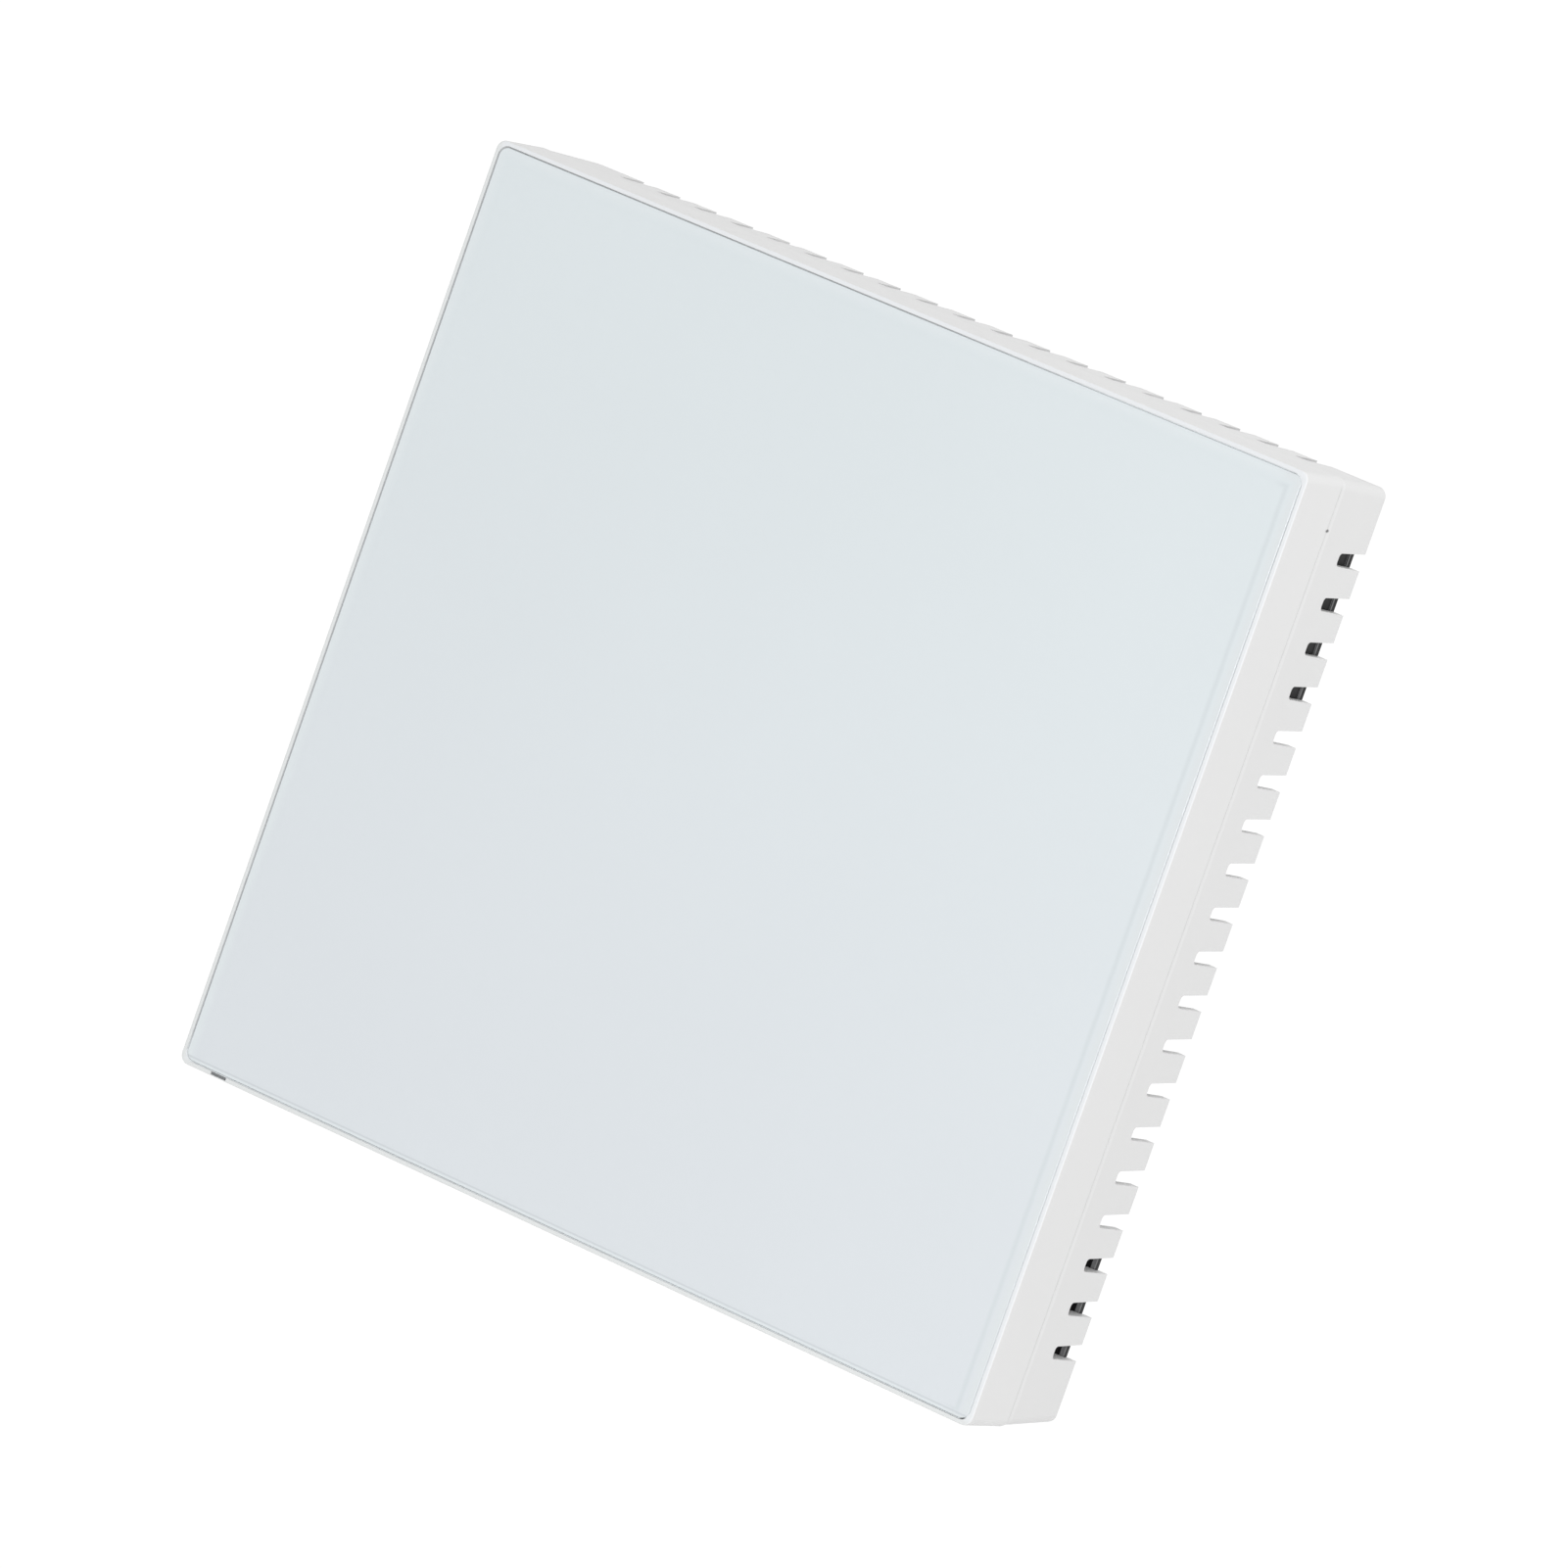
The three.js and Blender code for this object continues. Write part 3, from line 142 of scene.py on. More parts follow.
def addNode(kind, sockets=None, **settings):
    made = begun["tree"].nodes.new(kind)
    for name, value in settings.items():
        setattr(made, name, value)
    for key, value in (sockets or {}).items():
        if isinstance(value, bpy.types.NodeSocket):
            link(value, made.inputs[key])
        elif made.inputs[key].type == "RGBA":
            made.inputs[key].default_value = (*value[:3], 1.0)
        else:
            made.inputs[key].default_value = value
    return made


def result(kind, sockets=None, **settings):
    return addNode(kind, sockets, **settings).outputs[0]


def math2(operation, a, b=0.0, clamp=False):
    return result("ShaderNodeMath", {0: a, 1: b}, operation=operation, use_clamp=clamp)


def plus(a, b):
    return math2("ADD", a, b)


def minus(a, b):
    return math2("SUBTRACT", a, b)


def times(a, b):
    return math2("MULTIPLY", a, b)


def over(a, b):
    return math2("DIVIDE", a, b)


def absolute(a):
    return math2("ABSOLUTE", a)


def vector(x=0.0, y=0.0, z=0.0):
    return result("ShaderNodeCombineXYZ", {0: x, 1: y, 2: z})


def apart(value):
    return addNode("ShaderNodeSeparateXYZ", {0: value}).outputs


def vectorMath(operation, a, b=(0.0, 0.0, 0.0)):
    made = addNode("ShaderNodeVectorMath", {0: a, 1: b}, operation=operation)
    return made.outputs["Value" if operation in ("LENGTH", "DISTANCE") else 0]


def shaded(color, share):
    return tuple(part * share for part in color)


def mixColors(factor, first, second):
    return addNode("ShaderNodeMix", {0: factor, 6: first, 7: second}, data_type="RGBA").outputs[2]


def between(value, low, high, toLow=0.0, toHigh=1.0, smooth=False):
    kind = "SMOOTHSTEP" if smooth else "LINEAR"
    sockets = {"Value": value, "From Min": low, "From Max": high, "To Min": toLow, "To Max": toHigh}
    return result("ShaderNodeMapRange", sockets, interpolation_type=kind)


def bandAt(value, at, near, far):
    # 1 where the value is close to "at", and 0 beyond the far distance
    return between(absolute(minus(value, at)), near, far, 1.0, 0.0, smooth=True)


def noise(place, scale, detail=2.0, roughness=0.5):
    sockets = {"Vector": place, "Scale": scale, "Detail": detail, "Roughness": roughness}
    return result("ShaderNodeTexNoise", sockets)


def spots(place, scale, low, high, rarity, **settings):
    # round spots at a few of the points of a scattered grid
    points = addNode("ShaderNodeTexVoronoi", {"Vector": place, "Scale": scale}, **settings)
    near = between(points.outputs["Distance"], low, high, 1.0, 0.0)
    picked = result("ShaderNodeSeparateColor", {0: points.outputs["Color"]})
    return times(near, math2("GREATER_THAN", picked, rarity))


def cells(place, scale):
    return addNode("ShaderNodeTexVoronoi", {"Vector": place, "Scale": scale}).outputs["Distance"]


def newMaterial(name, roughness=0.5, metallic=0.0, ior=1.5):
    material = bpy.data.materials.new(name)
    material.use_nodes = True
    tree = begin(material.node_tree)
    tree.nodes.clear()
    shader = addNode("ShaderNodeBsdfPrincipled", {"Roughness": roughness, "Metallic": metallic, "IOR": ior})
    addNode("ShaderNodeOutputMaterial", {0: shader.outputs[0]})
    return material, shader, addNode("ShaderNodeTexCoord").outputs["Object"]


def dressShader(shader, color, roughness=None, metallic=None, relief=None):
    # the shader's inputs; relief is a strength, a depth and a height that varies over the surface
    for name, value in (("Base Color", color), ("Roughness", roughness), ("Metallic", metallic)):
        if value is not None:
            link(value, shader.inputs[name])
    if relief:
        strength, depth, height = relief
        bump = result("ShaderNodeBump", {"Strength": strength, "Distance": depth, "Height": height})
        link(bump, shader.inputs["Normal"])


# Materials. Each finish has its own dictionary entry: colours are linear.

# color, roughness, size of the grain in millimetres, bump, share of tint and index of refraction
plasticFinishes = {
    "whitePlastic": ((0.783, 0.783, 0.782), 0.42, 0.16, 0.10, 0.012, 1.5),
    "rearPlastic": ((0.774, 0.774, 0.773), 0.46, 0.18, 0.12, 0.012, 1.5),
    "blackPlastic": ((0.010, 0.010, 0.011), 0.5, 0.22, 0.25, 0.25, 1.3),
    "terminalPlastic": ((0.028, 0.115, 0.070), 0.45, 0.2, 0.15, 0.12, 1.5),
    "relayPlastic": ((0.020, 0.060, 0.150), 0.38, 0.25, 0.1, 0.1, 1.5),
    "darkResin": ((0.011, 0.011, 0.012), 0.4, 0.12, 0.2, 0.2, 1.5),
    "diffuser": ((0.83, 0.84, 0.85), 0.6, 0.1, 0.06, 0.01, 1.5),
    "yellowPlastic": ((0.62, 0.38, 0.06), 0.45, 0.2, 0.1, 0.06, 1.5),
    "blueCoating": ((0.03, 0.12, 0.42), 0.4, 0.5, 0.4, 0.12, 1.5),
}
# how much sharp edges are lightened, partly by rubbed wear and partly by a painted highlight
plasticWearAndEdgeHighlight = {"sharpness": (0.53, 0.62), "share": 0.35, "broadScale": 55, "rubbedScale": 420}


def makePlastic(name, finish=None):
    color, roughness, grain, bump, tint, ior = plasticFinishes[finish or name]
    material, shader, place = newMaterial(name, roughness, ior=ior)
    fine = noise(place, 1 / (grain * mm), 3)
    broad = noise(place, plasticWearAndEdgeHighlight["broadScale"], 2)
    rubbed = noise(place, plasticWearAndEdgeHighlight["rubbedScale"], 4, 0.65)
    base = mixColors(broad, shaded(color, 1 - tint), shaded(color, 1 + tint))
    # sharp edges lighter: partly rubbed wear, partly a painted highlight along the edges
    edges = between(addNode("ShaderNodeNewGeometry").outputs["Pointiness"], *plasticWearAndEdgeHighlight["sharpness"])
    wornAndHighlit = times(times(edges, rubbed), plasticWearAndEdgeHighlight["share"])
    edgeWearAndHighlight = mixColors(wornAndHighlit, base, shaded(color, 1 + 4 * tint))
    uneven = between(rubbed, 0.3, 0.7, roughness - 0.04, roughness + 0.05)
    dressShader(shader, edgeWearAndHighlight, uneven, relief=(bump, 0.01 * mm, fine))
    return material


seamNick = {
    "place": inMm((42.95, -8.7, 38.35)),
    "squeeze": (1.0, 0.4, 1.0),
    "size": inMm((0.08, 0.2)),
    "color": (0.03, 0.03, 0.03),
}
# where the painted shade at the left and the bottom edges begins and ends
paintedShadeSides = inMm((-42.7, -42.3))


def makeBandedPlastic(name, finish, at, width, color, farColor, beyond=0.0):
    # a plastic with a painted highlight band at one depth, painted shade that makes the band duller at the
    # left and the bottom, and a nick in the casing's seam
    material = makePlastic(name, finish)
    shader = next(node for node in material.node_tree.nodes if node.type == "BSDF_PRINCIPLED")
    place = addNode("ShaderNodeTexCoord").outputs["Object"]
    across, depth, up = apart(place)
    reach = math2("MAXIMUM", absolute(across), absolute(up))
    # painted highlight: a lighter band at one depth, only where the part reaches beyond a given distance from
    # its middle
    band = times(bandAt(depth, at, width * 0.5, width), math2("GREATER_THAN", reach, beyond))
    # painted shade: at the left and the bottom edges the band takes the darker shaded colour
    near = between(math2("MINIMUM", across, up), *paintedShadeSides)
    base = shader.inputs["Base Color"].links[0].from_socket
    highlighted = mixColors(band, base, mixColors(near, farColor, color))
    offset = vectorMath("SUBTRACT", place, seamNick["place"])
    away = vectorMath("LENGTH", vectorMath("MULTIPLY", offset, seamNick["squeeze"]))
    nick = between(away, *seamNick["size"], 0.9, 0.0)
    dressShader(shader, mixColors(nick, highlighted, seamNick["color"]))
    return material


# color, roughness and depth of the brushed lines
metalFinishes = {
    "platedSteel": ((0.62, 0.63, 0.65), 0.3, 0.25),
    "contactBrass": ((0.80, 0.58, 0.26), 0.3, 0.25),
    "fuseMetal": ((0.66, 0.67, 0.69), 0.28, 0.2),
}
metalGrain = {"stretch": (1.0, 14.0, 1.0), "lines": 900, "clouds": 260}


def makeMetal(name, color, roughness, brush):
    material, shader, place = newMaterial(name, roughness, 1.0)
    stretched = result("ShaderNodeMapping", {"Vector": place, "Scale": metalGrain["stretch"]})
    lines = noise(stretched, metalGrain["lines"], 3)
    clouds = noise(place, metalGrain["clouds"], 3)
    uneven = between(clouds, 0.3, 0.7, roughness - 0.06, roughness + 0.1)
    base = mixColors(clouds, shaded(color, 0.9), shaded(color, 1.04))
    dressShader(shader, base, uneven, relief=(brush, 0.01 * mm, lines))
    return material


# White glass: clear glass whose back is printed white, with a second coat inset from its edges. Painted into
# this print are shade towards the bottom, reflection and shade in the edge band from the glass's thickness,
# and a reflection line near the bottom edge.
glassFinish = {
    "print": (0.736, 0.794, 0.817),
    # the print in painted shade, towards the bottom
    "lowPrint": (0.733, 0.773, 0.806),
    # edge band colours: the inset coat brightened by painted reflection, a darker painted shade at the right,
    # and the line at the band's inner edge, painted darker towards the right
    "margin": (0.755, 0.806, 0.828),
    "rightMargin": (0.740, 0.780, 0.798),
    "line": (0.665, 0.718, 0.742),
    "edge": (0.560, 0.640, 0.640),
    "edgeDepth": inMm((0.1, 0.3)),
    "speck": (0.25, 0.26, 0.27),
    "marginWidth": 1.25 * mm,
    "lineWidth": 0.38 * mm,
    "lowSqueeze": 2.2,
    # a painted reflection line near the bottom edge
    "lowLine": (0.640, 0.680, 0.710),
    "lowLineAt": 0.34 * mm,
    "lowLineSize": inMm((0.03, 0.13)),
    "roughness": 0.06,
    "clouds": 28,
    "smears": 45,
    "specks": (62.0, 0.006, 0.011, 0.9),
}


def makeGlass(name, half, front):
    finish = glassFinish
    margin = finish["marginWidth"]
    material, shader, place = newMaterial(name, finish["roughness"], ior=1.52)
    across, depth, up = apart(place)
    aboveEdge = plus(up, half)
    reach = math2("MAXIMUM", absolute(across), up)
    inset = math2("MINIMUM", minus(half, reach), times(aboveEdge, finish["lowSqueeze"]))
    mottled = between(noise(place, finish["clouds"], 3), 0.3, 0.7, 0.992, 1.008)
    # painted shade: the print turns darker and bluer towards the bottom
    lower = between(up, half, -half, smooth=True)
    coat = vectorMath("MULTIPLY", mixColors(lower, finish["print"], finish["lowPrint"]), mottled)
    right = between(minus(half, across), 2 * margin, 0.0)
    # the edge band: partly the print's own inset coat, partly painted reflection from inside the glass's
    # thickness; at the right it turns to a darker band of painted shade
    marginPrintAndReflection = mixColors(between(right, 0.0, 0.4), finish["margin"], finish["rightMargin"])
    outside = between(inset, 0.2 * margin, 0.9 * margin, 1.0, 0.0, smooth=True)
    toned = mixColors(outside, coat, marginPrintAndReflection)
    # the line at the band's inner edge is painted darker towards the right, as painted shade of the glass's
    # thickness
    line = times(bandAt(inset, margin, 0.0, finish["lineWidth"]), between(right, 0.0, 0.4, 0.05, 0.75))
    ruled = mixColors(line, toned, finish["line"])
    # painted reflection: a darker line just above the bottom edge, where the front chamfer reflects the
    # darker floor
    lowLine = bandAt(aboveEdge, finish["lowLineAt"], *finish["lowLineSize"])
    ruled = mixColors(lowLine, ruled, finish["lowLine"])
    edged = mixColors(between(minus(depth, front), *finish["edgeDepth"]), ruled, finish["edge"])
    dusty = mixColors(times(spots(place, *finish["specks"]), 0.8), edged, finish["speck"])
    smears = noise(place, finish["smears"], 5, 0.6)
    dressShader(shader, dusty, between(smears, 0.35, 0.75, 0.04, 0.1))
    return material


boardFinish = {
    "mask": (0.012, 0.100, 0.042),
    "track": (0.026, 0.170, 0.070),
    "weave": (0.03, 0.12, 0.05),
    "pad": (0.55, 0.50, 0.34),
    "laminate": ((0.42, 0.40, 0.22), (0.55, 0.52, 0.30)),
    "tracks": {"Mortar Size": 0.085, "Mortar Smooth": 0.1, "Brick Width": 3.6, "Row Height": 0.25},
    "trackPitch": 0.62 * mm,
    "viaSpacing": 2.4 * mm,
    "viaRadius": 0.26 * mm,
}


def makeBoard(name):
    # green mask over copper tracks that run up or across, with small plated vias and bare laminate edges
    finish = boardFinish
    material, shader, place = newMaterial(name, 0.35)
    across, _, up = apart(place)

    def tracks(along, beside, share):
        sockets = {"Vector": vector(along, beside), "Scale": 0.25 / finish["trackPitch"], **finish["tracks"]}
        rows = addNode("ShaderNodeTexBrick", sockets, offset=0.37, offset_frequency=3)
        return times(minus(1.0, rows.outputs["Fac"]), share)

    fields = noise(place, 85, 0)
    upright = between(fields, 0.52, 0.53)
    level = between(fields, 0.44, 0.45, 1.0, 0.0)
    copper = plus(tracks(across, up, level), tracks(up, across, upright))
    base = mixColors(copper, finish["mask"], finish["track"])
    spacing, reach = finish["viaSpacing"], finish["viaRadius"] / finish["viaSpacing"]
    via = spots(vector(across, up), 1 / spacing, reach, reach * 1.2, 0.8, voronoi_dimensions="2D")
    weave = noise(place, 2500, 2)
    plated = mixColors(via, mixColors(times(weave, 0.2), base, finish["weave"]), finish["pad"])
    towards = absolute(apart(addNode("ShaderNodeTexCoord").outputs["Normal"])[1])
    edges = between(towards, 0.5, 0.7, 1.0, 0.0)
    edged = mixColors(edges, plated, mixColors(weave, *finish["laminate"]))
    relief = (0.5, 0.03 * mm, plus(copper, via))
    dressShader(shader, edged, metallic=times(via, minus(1.0, edges)), relief=relief)
    return material


# the two colours that each of these varies between
colorPairs = {
    "blackFoam": ((0.006, 0.006, 0.006), (0.03, 0.03, 0.032)),
    "copperWire": ((0.62, 0.20, 0.07), (0.80, 0.32, 0.12)),
    "ferrite": ((0.018, 0.018, 0.019), (0.05, 0.05, 0.052)),
    "canSleeve": ((0.010, 0.016, 0.045), (0.016, 0.026, 0.070)),
    "ledCarrier": ((0.74, 0.75, 0.74), (0.82, 0.83, 0.82)),
    "ledBars": ((0.86, 0.70, 0.22), (0.92, 0.80, 0.34)),
}
plainColors = {
    "ferritePit": (0.008, 0.008, 0.008), "canStripe": (0.42, 0.44, 0.48), "bareCan": (0.70, 0.71, 0.73),
}


def varied(place, scale, detail, name):
    return mixColors(noise(place, scale, detail), *colorPairs[name])


def makeFoam(name):
    material, shader, place = newMaterial(name, 0.95)
    bubbles = cells(place, 4200.0)
    dressShader(shader, mixColors(bubbles, *colorPairs[name]), relief=(0.7, 0.05 * mm, bubbles))
    return material


def makeWire(name):
    # enamelled copper: warm, clear-coated, a little uneven from turn to turn
    material, shader, place = newMaterial(name, 0.28, 1.0)
    dressShader(shader, varied(place, 900, 2, name), between(noise(place, 120, 3), 0.3, 0.7, 0.2, 0.34))
    shader.inputs["Coat Weight"].default_value = 0.6
    shader.inputs["Coat Roughness"].default_value = 0.12
    return material


def makeFerrite(name):
    material, shader, place = newMaterial(name, 0.55)
    pits = between(cells(place, 1400.0), 0.05, 0.16)
    pitted = mixColors(pits, plainColors["ferritePit"], varied(place, 3200, 3, name))
    dressShader(shader, pitted, relief=(0.5, 0.03 * mm, pits))
    return material


def makeSleeve(name, canEnd, axis):
    # a shrink sleeve with a pale stripe along it, and bare metal on the can's end
    material, shader, place = newMaterial(name, 0.3)
    across, depth, up = apart(place)
    bare = between(across, canEnd - 0.12 * mm, canEnd - 0.06 * mm)
    around = math2("ARCTAN2", minus(up, axis[1]), minus(depth, axis[0]))
    stripe = between(absolute(minus(around, 1.2)), 0.3, 0.34, 1.0, 0.0)
    film = noise(place, 700, 3)
    striped = mixColors(stripe, mixColors(film, *colorPairs["canSleeve"]), plainColors["canStripe"])
    base = mixColors(bare, striped, plainColors["bareCan"])
    dressShader(shader, base, between(film, 0.3, 0.7, 0.22, 0.36), bare)
    return material


def makeLedFace(name, carrierFront):
    # pale carrier, with warm light bars standing in front of it
    material, shader, place = newMaterial(name, 0.4)
    depth = apart(place)[1]
    bars = between(depth, carrierFront - 0.12 * mm, carrierFront - 0.06 * mm, 1.0, 0.0)
    grain = noise(place, 1600, 3)
    pale, warm = (mixColors(grain, *colorPairs[part]) for part in ("ledCarrier", "ledBars"))
    dressShader(shader, mixColors(bars, pale, warm), between(grain, 0.3, 0.7, 0.34, 0.5))
    return material


# tint, roughness and how much light comes through
clearFinishes = {
    "relayWindow": ((0.36, 0.50, 0.72), 0.14, 0.85),
    "fuseGlass": ((0.92, 0.95, 0.94), 0.04, 0.95),
}


def makeClear(name, tint, roughness, transmission):
    material, shader, place = newMaterial(name, roughness, ior=1.49)
    haze = noise(place, 320, 3)
    base = mixColors(haze, shaded(tint, 0.94), shaded(tint, 1.03))
    dressShader(shader, base, between(haze, 0.3, 0.7, roughness * 0.7, roughness * 1.4))
    shader.inputs["Transmission Weight"].default_value = transmission
    return material


casings = ("whitePlastic", "rearPlastic")
materials = {name: makePlastic(name) for name in plasticFinishes if name not in casings}
materials.update({name: makeMetal(name, *finish) for name, finish in metalFinishes.items()})
makers = {"circuitBoard": makeBoard, "blackFoam": makeFoam, "copperWire": makeWire, "ferrite": makeFerrite}
materials.update({name: make(name) for name, make in makers.items()})
materials.update({name: makeClear(name, *finish) for name, finish in clearFinishes.items()})
print("materials made")


# Mesh helpers

def linked(mesh, name="piece"):
    # pieces get their own names when they are placed
    made = bpy.data.objects.new(name, mesh)
    bpy.context.scene.collection.objects.link(made)
    return made


def pieceOf(points=(), faces=(), name="piece"):
    mesh = bpy.data.meshes.new(name)
    mesh.from_pydata(points, [], faces)
    return linked(mesh, name)


def closedMesh(points, faces):
    made = pieceOf(points, faces)
    work = bmesh.new()
    work.from_mesh(made.data)
    bmesh.ops.recalc_face_normals(work, faces=work.faces)
    work.to_mesh(made.data)
    work.free()
    return made


def roundedRing(y, halfX, radius, halfZ=None, x=0.0, z=0.0, steps=8):
    halfZ = halfX if halfZ is None else halfZ
    ring = []
    for corner, (sideX, sideZ) in enumerate(((1, 1), (-1, 1), (-1, -1), (1, -1))):
        for step in range(steps + 1):
            angle = math.pi / 2 * (corner + step / steps)
            ring.append((
                x + sideX * (halfX - radius) + radius * math.cos(angle),
                y,
                z + sideZ * (halfZ - radius) + radius * math.sin(angle),
            ))
    return ring


def skinned(rings):
    count = len(rings[0])
    faces = [tuple(range(count)), tuple(range((len(rings) - 1) * count, len(rings) * count))]
    for level in range(len(rings) - 1):
        for i in range(count):
            near, far = level * count, (level + 1) * count
            following = (i + 1) % count
            faces.append((near + i, near + following, far + following, far + i))
    return closedMesh([point for ring in rings for point in ring], faces)


def slab(halfX, radius, yEnds, halfZ=None, x=0.0, z=0.0, steps=8):
    return skinned([roundedRing(y, halfX, radius, halfZ, x, z, steps) for y in yEnds])


def brick(xEnds, yEnds, zEnds):
    points = [(x, y, z) for x in xEnds for y in yEnds for z in zEnds]
    faces = [(0, 1, 3, 2), (4, 6, 7, 5), (0, 4, 5, 1), (2, 3, 7, 6), (0, 2, 6, 4), (1, 5, 7, 3)]
    return closedMesh(points, faces)


def about(middle, half):
    return middle - half, middle + half


def block(x, y, z, halfX, halfY, halfZ):
    return brick(about(x, halfX), about(y, halfY), about(z, halfZ))


def past(ends, before=overcut, after=overcut):
    # the same span, run on at both ends
    return ends[0] - before, ends[1] + after


def circle(radius, sides):
    angles = [2 * math.pi * i / sides for i in range(sides)]
    return [(radius * math.cos(angle), radius * math.sin(angle)) for angle in angles]


def turned(x, z, profile, sides=32):
    # a shape turned about an axis along Y; profile: (y, radius) from one end to the other
    return skinned([[(x + a, y, z + b) for a, b in circle(r, sides)] for y, r in profile])


def turnedAlongX(y, z, profile, sides=32):
    return skinned([[(x, y + a, z + b) for a, b in circle(r, sides)] for x, r in profile])


def peg(x, z, radius, yEnds, sides=32, endRadius=None):
    return turned(x, z, list(zip(yEnds, (radius, endRadius or radius))), sides)


def merged(*pieces):
    # several closed shells as the loose parts of one mesh
    work = bmesh.new()
    for piece in pieces:
        work.from_mesh(piece.data)
        bpy.data.objects.remove(piece)
    made = pieceOf()
    work.to_mesh(made.data)
    work.free()
    return made


def baked(made):
    depsgraph = bpy.context.evaluated_depsgraph_get()
    mesh = bpy.data.meshes.new_from_object(made.evaluated_get(depsgraph), depsgraph=depsgraph)
    made.modifiers.clear()
    made.data = mesh
    return made


def carved(base, joins=(), cuts=()):
    tools = [("UNION", tool) for tool in joins] + [("DIFFERENCE", tool) for tool in cuts]
    for operation, tool in tools:
        cutter = base.modifiers.new("carve", "BOOLEAN")
        cutter.operation, cutter.solver, cutter.object = operation, "MANIFOLD", tool
    baked(base)
    for _, tool in tools:
        bpy.data.objects.remove(tool)
    return base


def withoutDoubles(made):
    work = bmesh.new()
    work.from_mesh(made.data)
    bmesh.ops.remove_doubles(work, verts=work.verts, dist=0.0002 * mm)
    work.to_mesh(made.data)
    work.free()
    return made


def finished(made, material, width, steps=2, angle=35):
    # width: how much of each edge is rounded off, in millimetres
    made.data.materials.clear()
    made.data.materials.append(material)
    withoutDoubles(made)
    if width:
        bevel = made.modifiers.new("softEdges", "BEVEL")
        bevel.width, bevel.segments = width * mm, steps
        bevel.limit_method, bevel.angle_limit = "ANGLE", math.radians(angle)
        bevel.use_clamp_overlap = True
        withoutDoubles(baked(made))
    made.data.polygons.foreach_set("use_smooth", [True] * len(made.data.polygons))
    weighted = made.modifiers.new("evenShading", "WEIGHTED_NORMAL")
    weighted.weight = 80
    return baked(made)


def camel(node):
    first, *others = node.split("_")
    return first + "".join(part.title() for part in others)


def placed(made, material, node=None, name=None, slot=None, **finish):
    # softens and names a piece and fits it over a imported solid; one without a node is extra, on the front
    if isinstance(material, str):
        material = materials[material]
    made.name = name or camel(node)
    finished(made, material, **finish)
    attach(made, frame["nodes"][node]["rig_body"] if node else "front_unit")
    if node:
        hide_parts(node)
    return made


# Geometry Nodes helpers: a tree with named inputs, run once on a mesh and turned into a plain mesh.

def newTree(name, sizes):
    tree = begin(bpy.data.node_groups.new(name, "GeometryNodeTree"))
    tree.interface.new_socket("Geometry", in_out="INPUT", socket_type="NodeSocketGeometry")
    kinds = {int: "NodeSocketInt", float: "NodeSocketFloat", tuple: "NodeSocketVector"}
    for key, value in sizes.items():
        tree.interface.new_socket(key, in_out="INPUT", socket_type=kinds[type(value)]).default_value = value
    tree.interface.new_socket("Material", in_out="INPUT", socket_type="NodeSocketMaterial")
    tree.interface.new_socket("Geometry", in_out="OUTPUT", socket_type="NodeSocketGeometry")
    begun["given"] = addNode("NodeGroupInput").outputs
    return begun["given"]


def closeTree(geometry):
    real = result("GeometryNodeRealizeInstances", {0: geometry})
    surfaced = result("GeometryNodeSetMaterial", {"Geometry": real, "Material": begun["given"]["Material"]})
    addNode("NodeGroupOutput", {0: surfaced})
    return begun["tree"]


def runTree(made, tree, values, material=None):
    modifier = made.modifiers.new(tree.name, "NODES")
    modifier.node_group = tree
    for item in tree.interface.items_tree:
        if item.in_out == "INPUT" and item.name in values:
            modifier[item.identifier] = values[item.name]
        elif item.in_out == "INPUT" and item.name == "Material":
            modifier[item.identifier] = material
    return baked(made)


def joined(*pieces):
    join = addNode("GeometryNodeJoinGeometry")
    for piece in pieces:
        link(piece, join.inputs[0])
    return join.outputs[0]


def combined(operation, first, *others):
    node = addNode("GeometryNodeMeshBoolean", operation=operation, solver="MANIFOLD")
    if operation == "DIFFERENCE":
        link(first, node.inputs["Mesh 1"])
    else:
        others = (first, *others)
    for other in others:
        link(other, node.inputs["Mesh 2"])
    return node.outputs[0]


def moved(geometry, **sockets):
    return result("GeometryNodeTransform", {"Geometry": geometry, **sockets})


def lineOf(count, offset=(0.0, 0.0, 0.0), start=(0.0, 0.0, 0.0)):
    return result("GeometryNodeMeshLine", {"Count": count, "Offset": offset, "Start Location": start})


def turnByIndex(angle):
    return times(result("GeometryNodeInputIndex"), angle)


def filleted(outline, radius, count, limited=False):
    sockets = {"Curve": outline, "Radius": radius, "Limit Radius": limited}
    rounded = addNode("GeometryNodeFilletCurve", sockets)
    rounded.mode = "POLY"
    rounded.inputs["Count"].default_value = count
    return rounded.outputs[0]


def wireAlong(curve, sides, radius, closed=True):
    profile = result("GeometryNodeCurvePrimitiveCircle", {"Resolution": sides, "Radius": radius})
    sockets = {"Curve": curve, "Profile Curve": profile, "Fill Caps": closed}
    return result("GeometryNodeCurveToMesh", sockets)


def instanced(points, piece, **sockets):
    return result("GeometryNodeInstanceOnPoints", {"Points": points, "Instance": piece, **sockets})


def rowTree():
    # copies of the piece's own mesh in a line, and that line again half a turn round a centre
    nowhere = (0.0, 0.0, 0.0)
    given = newTree("copiesInRows", {"Count": 3, "Step": nowhere, "Rows": 1, "Centre": nowhere})
    row = instanced(lineOf(given["Count"], given["Step"]), given["Geometry"])
    away = addNode("ShaderNodeVectorMath", {0: given["Centre"], "Scale": -1.0}, operation="SCALE").outputs[0]
    lines = lineOf(given["Rows"], start=given["Centre"])
    turns = vector(0.0, turnByIndex(math.pi), 0.0)
    return closeTree(instanced(lines, moved(row, Translation=away), Rotation=turns))


rowsOfCopies = rowTree()


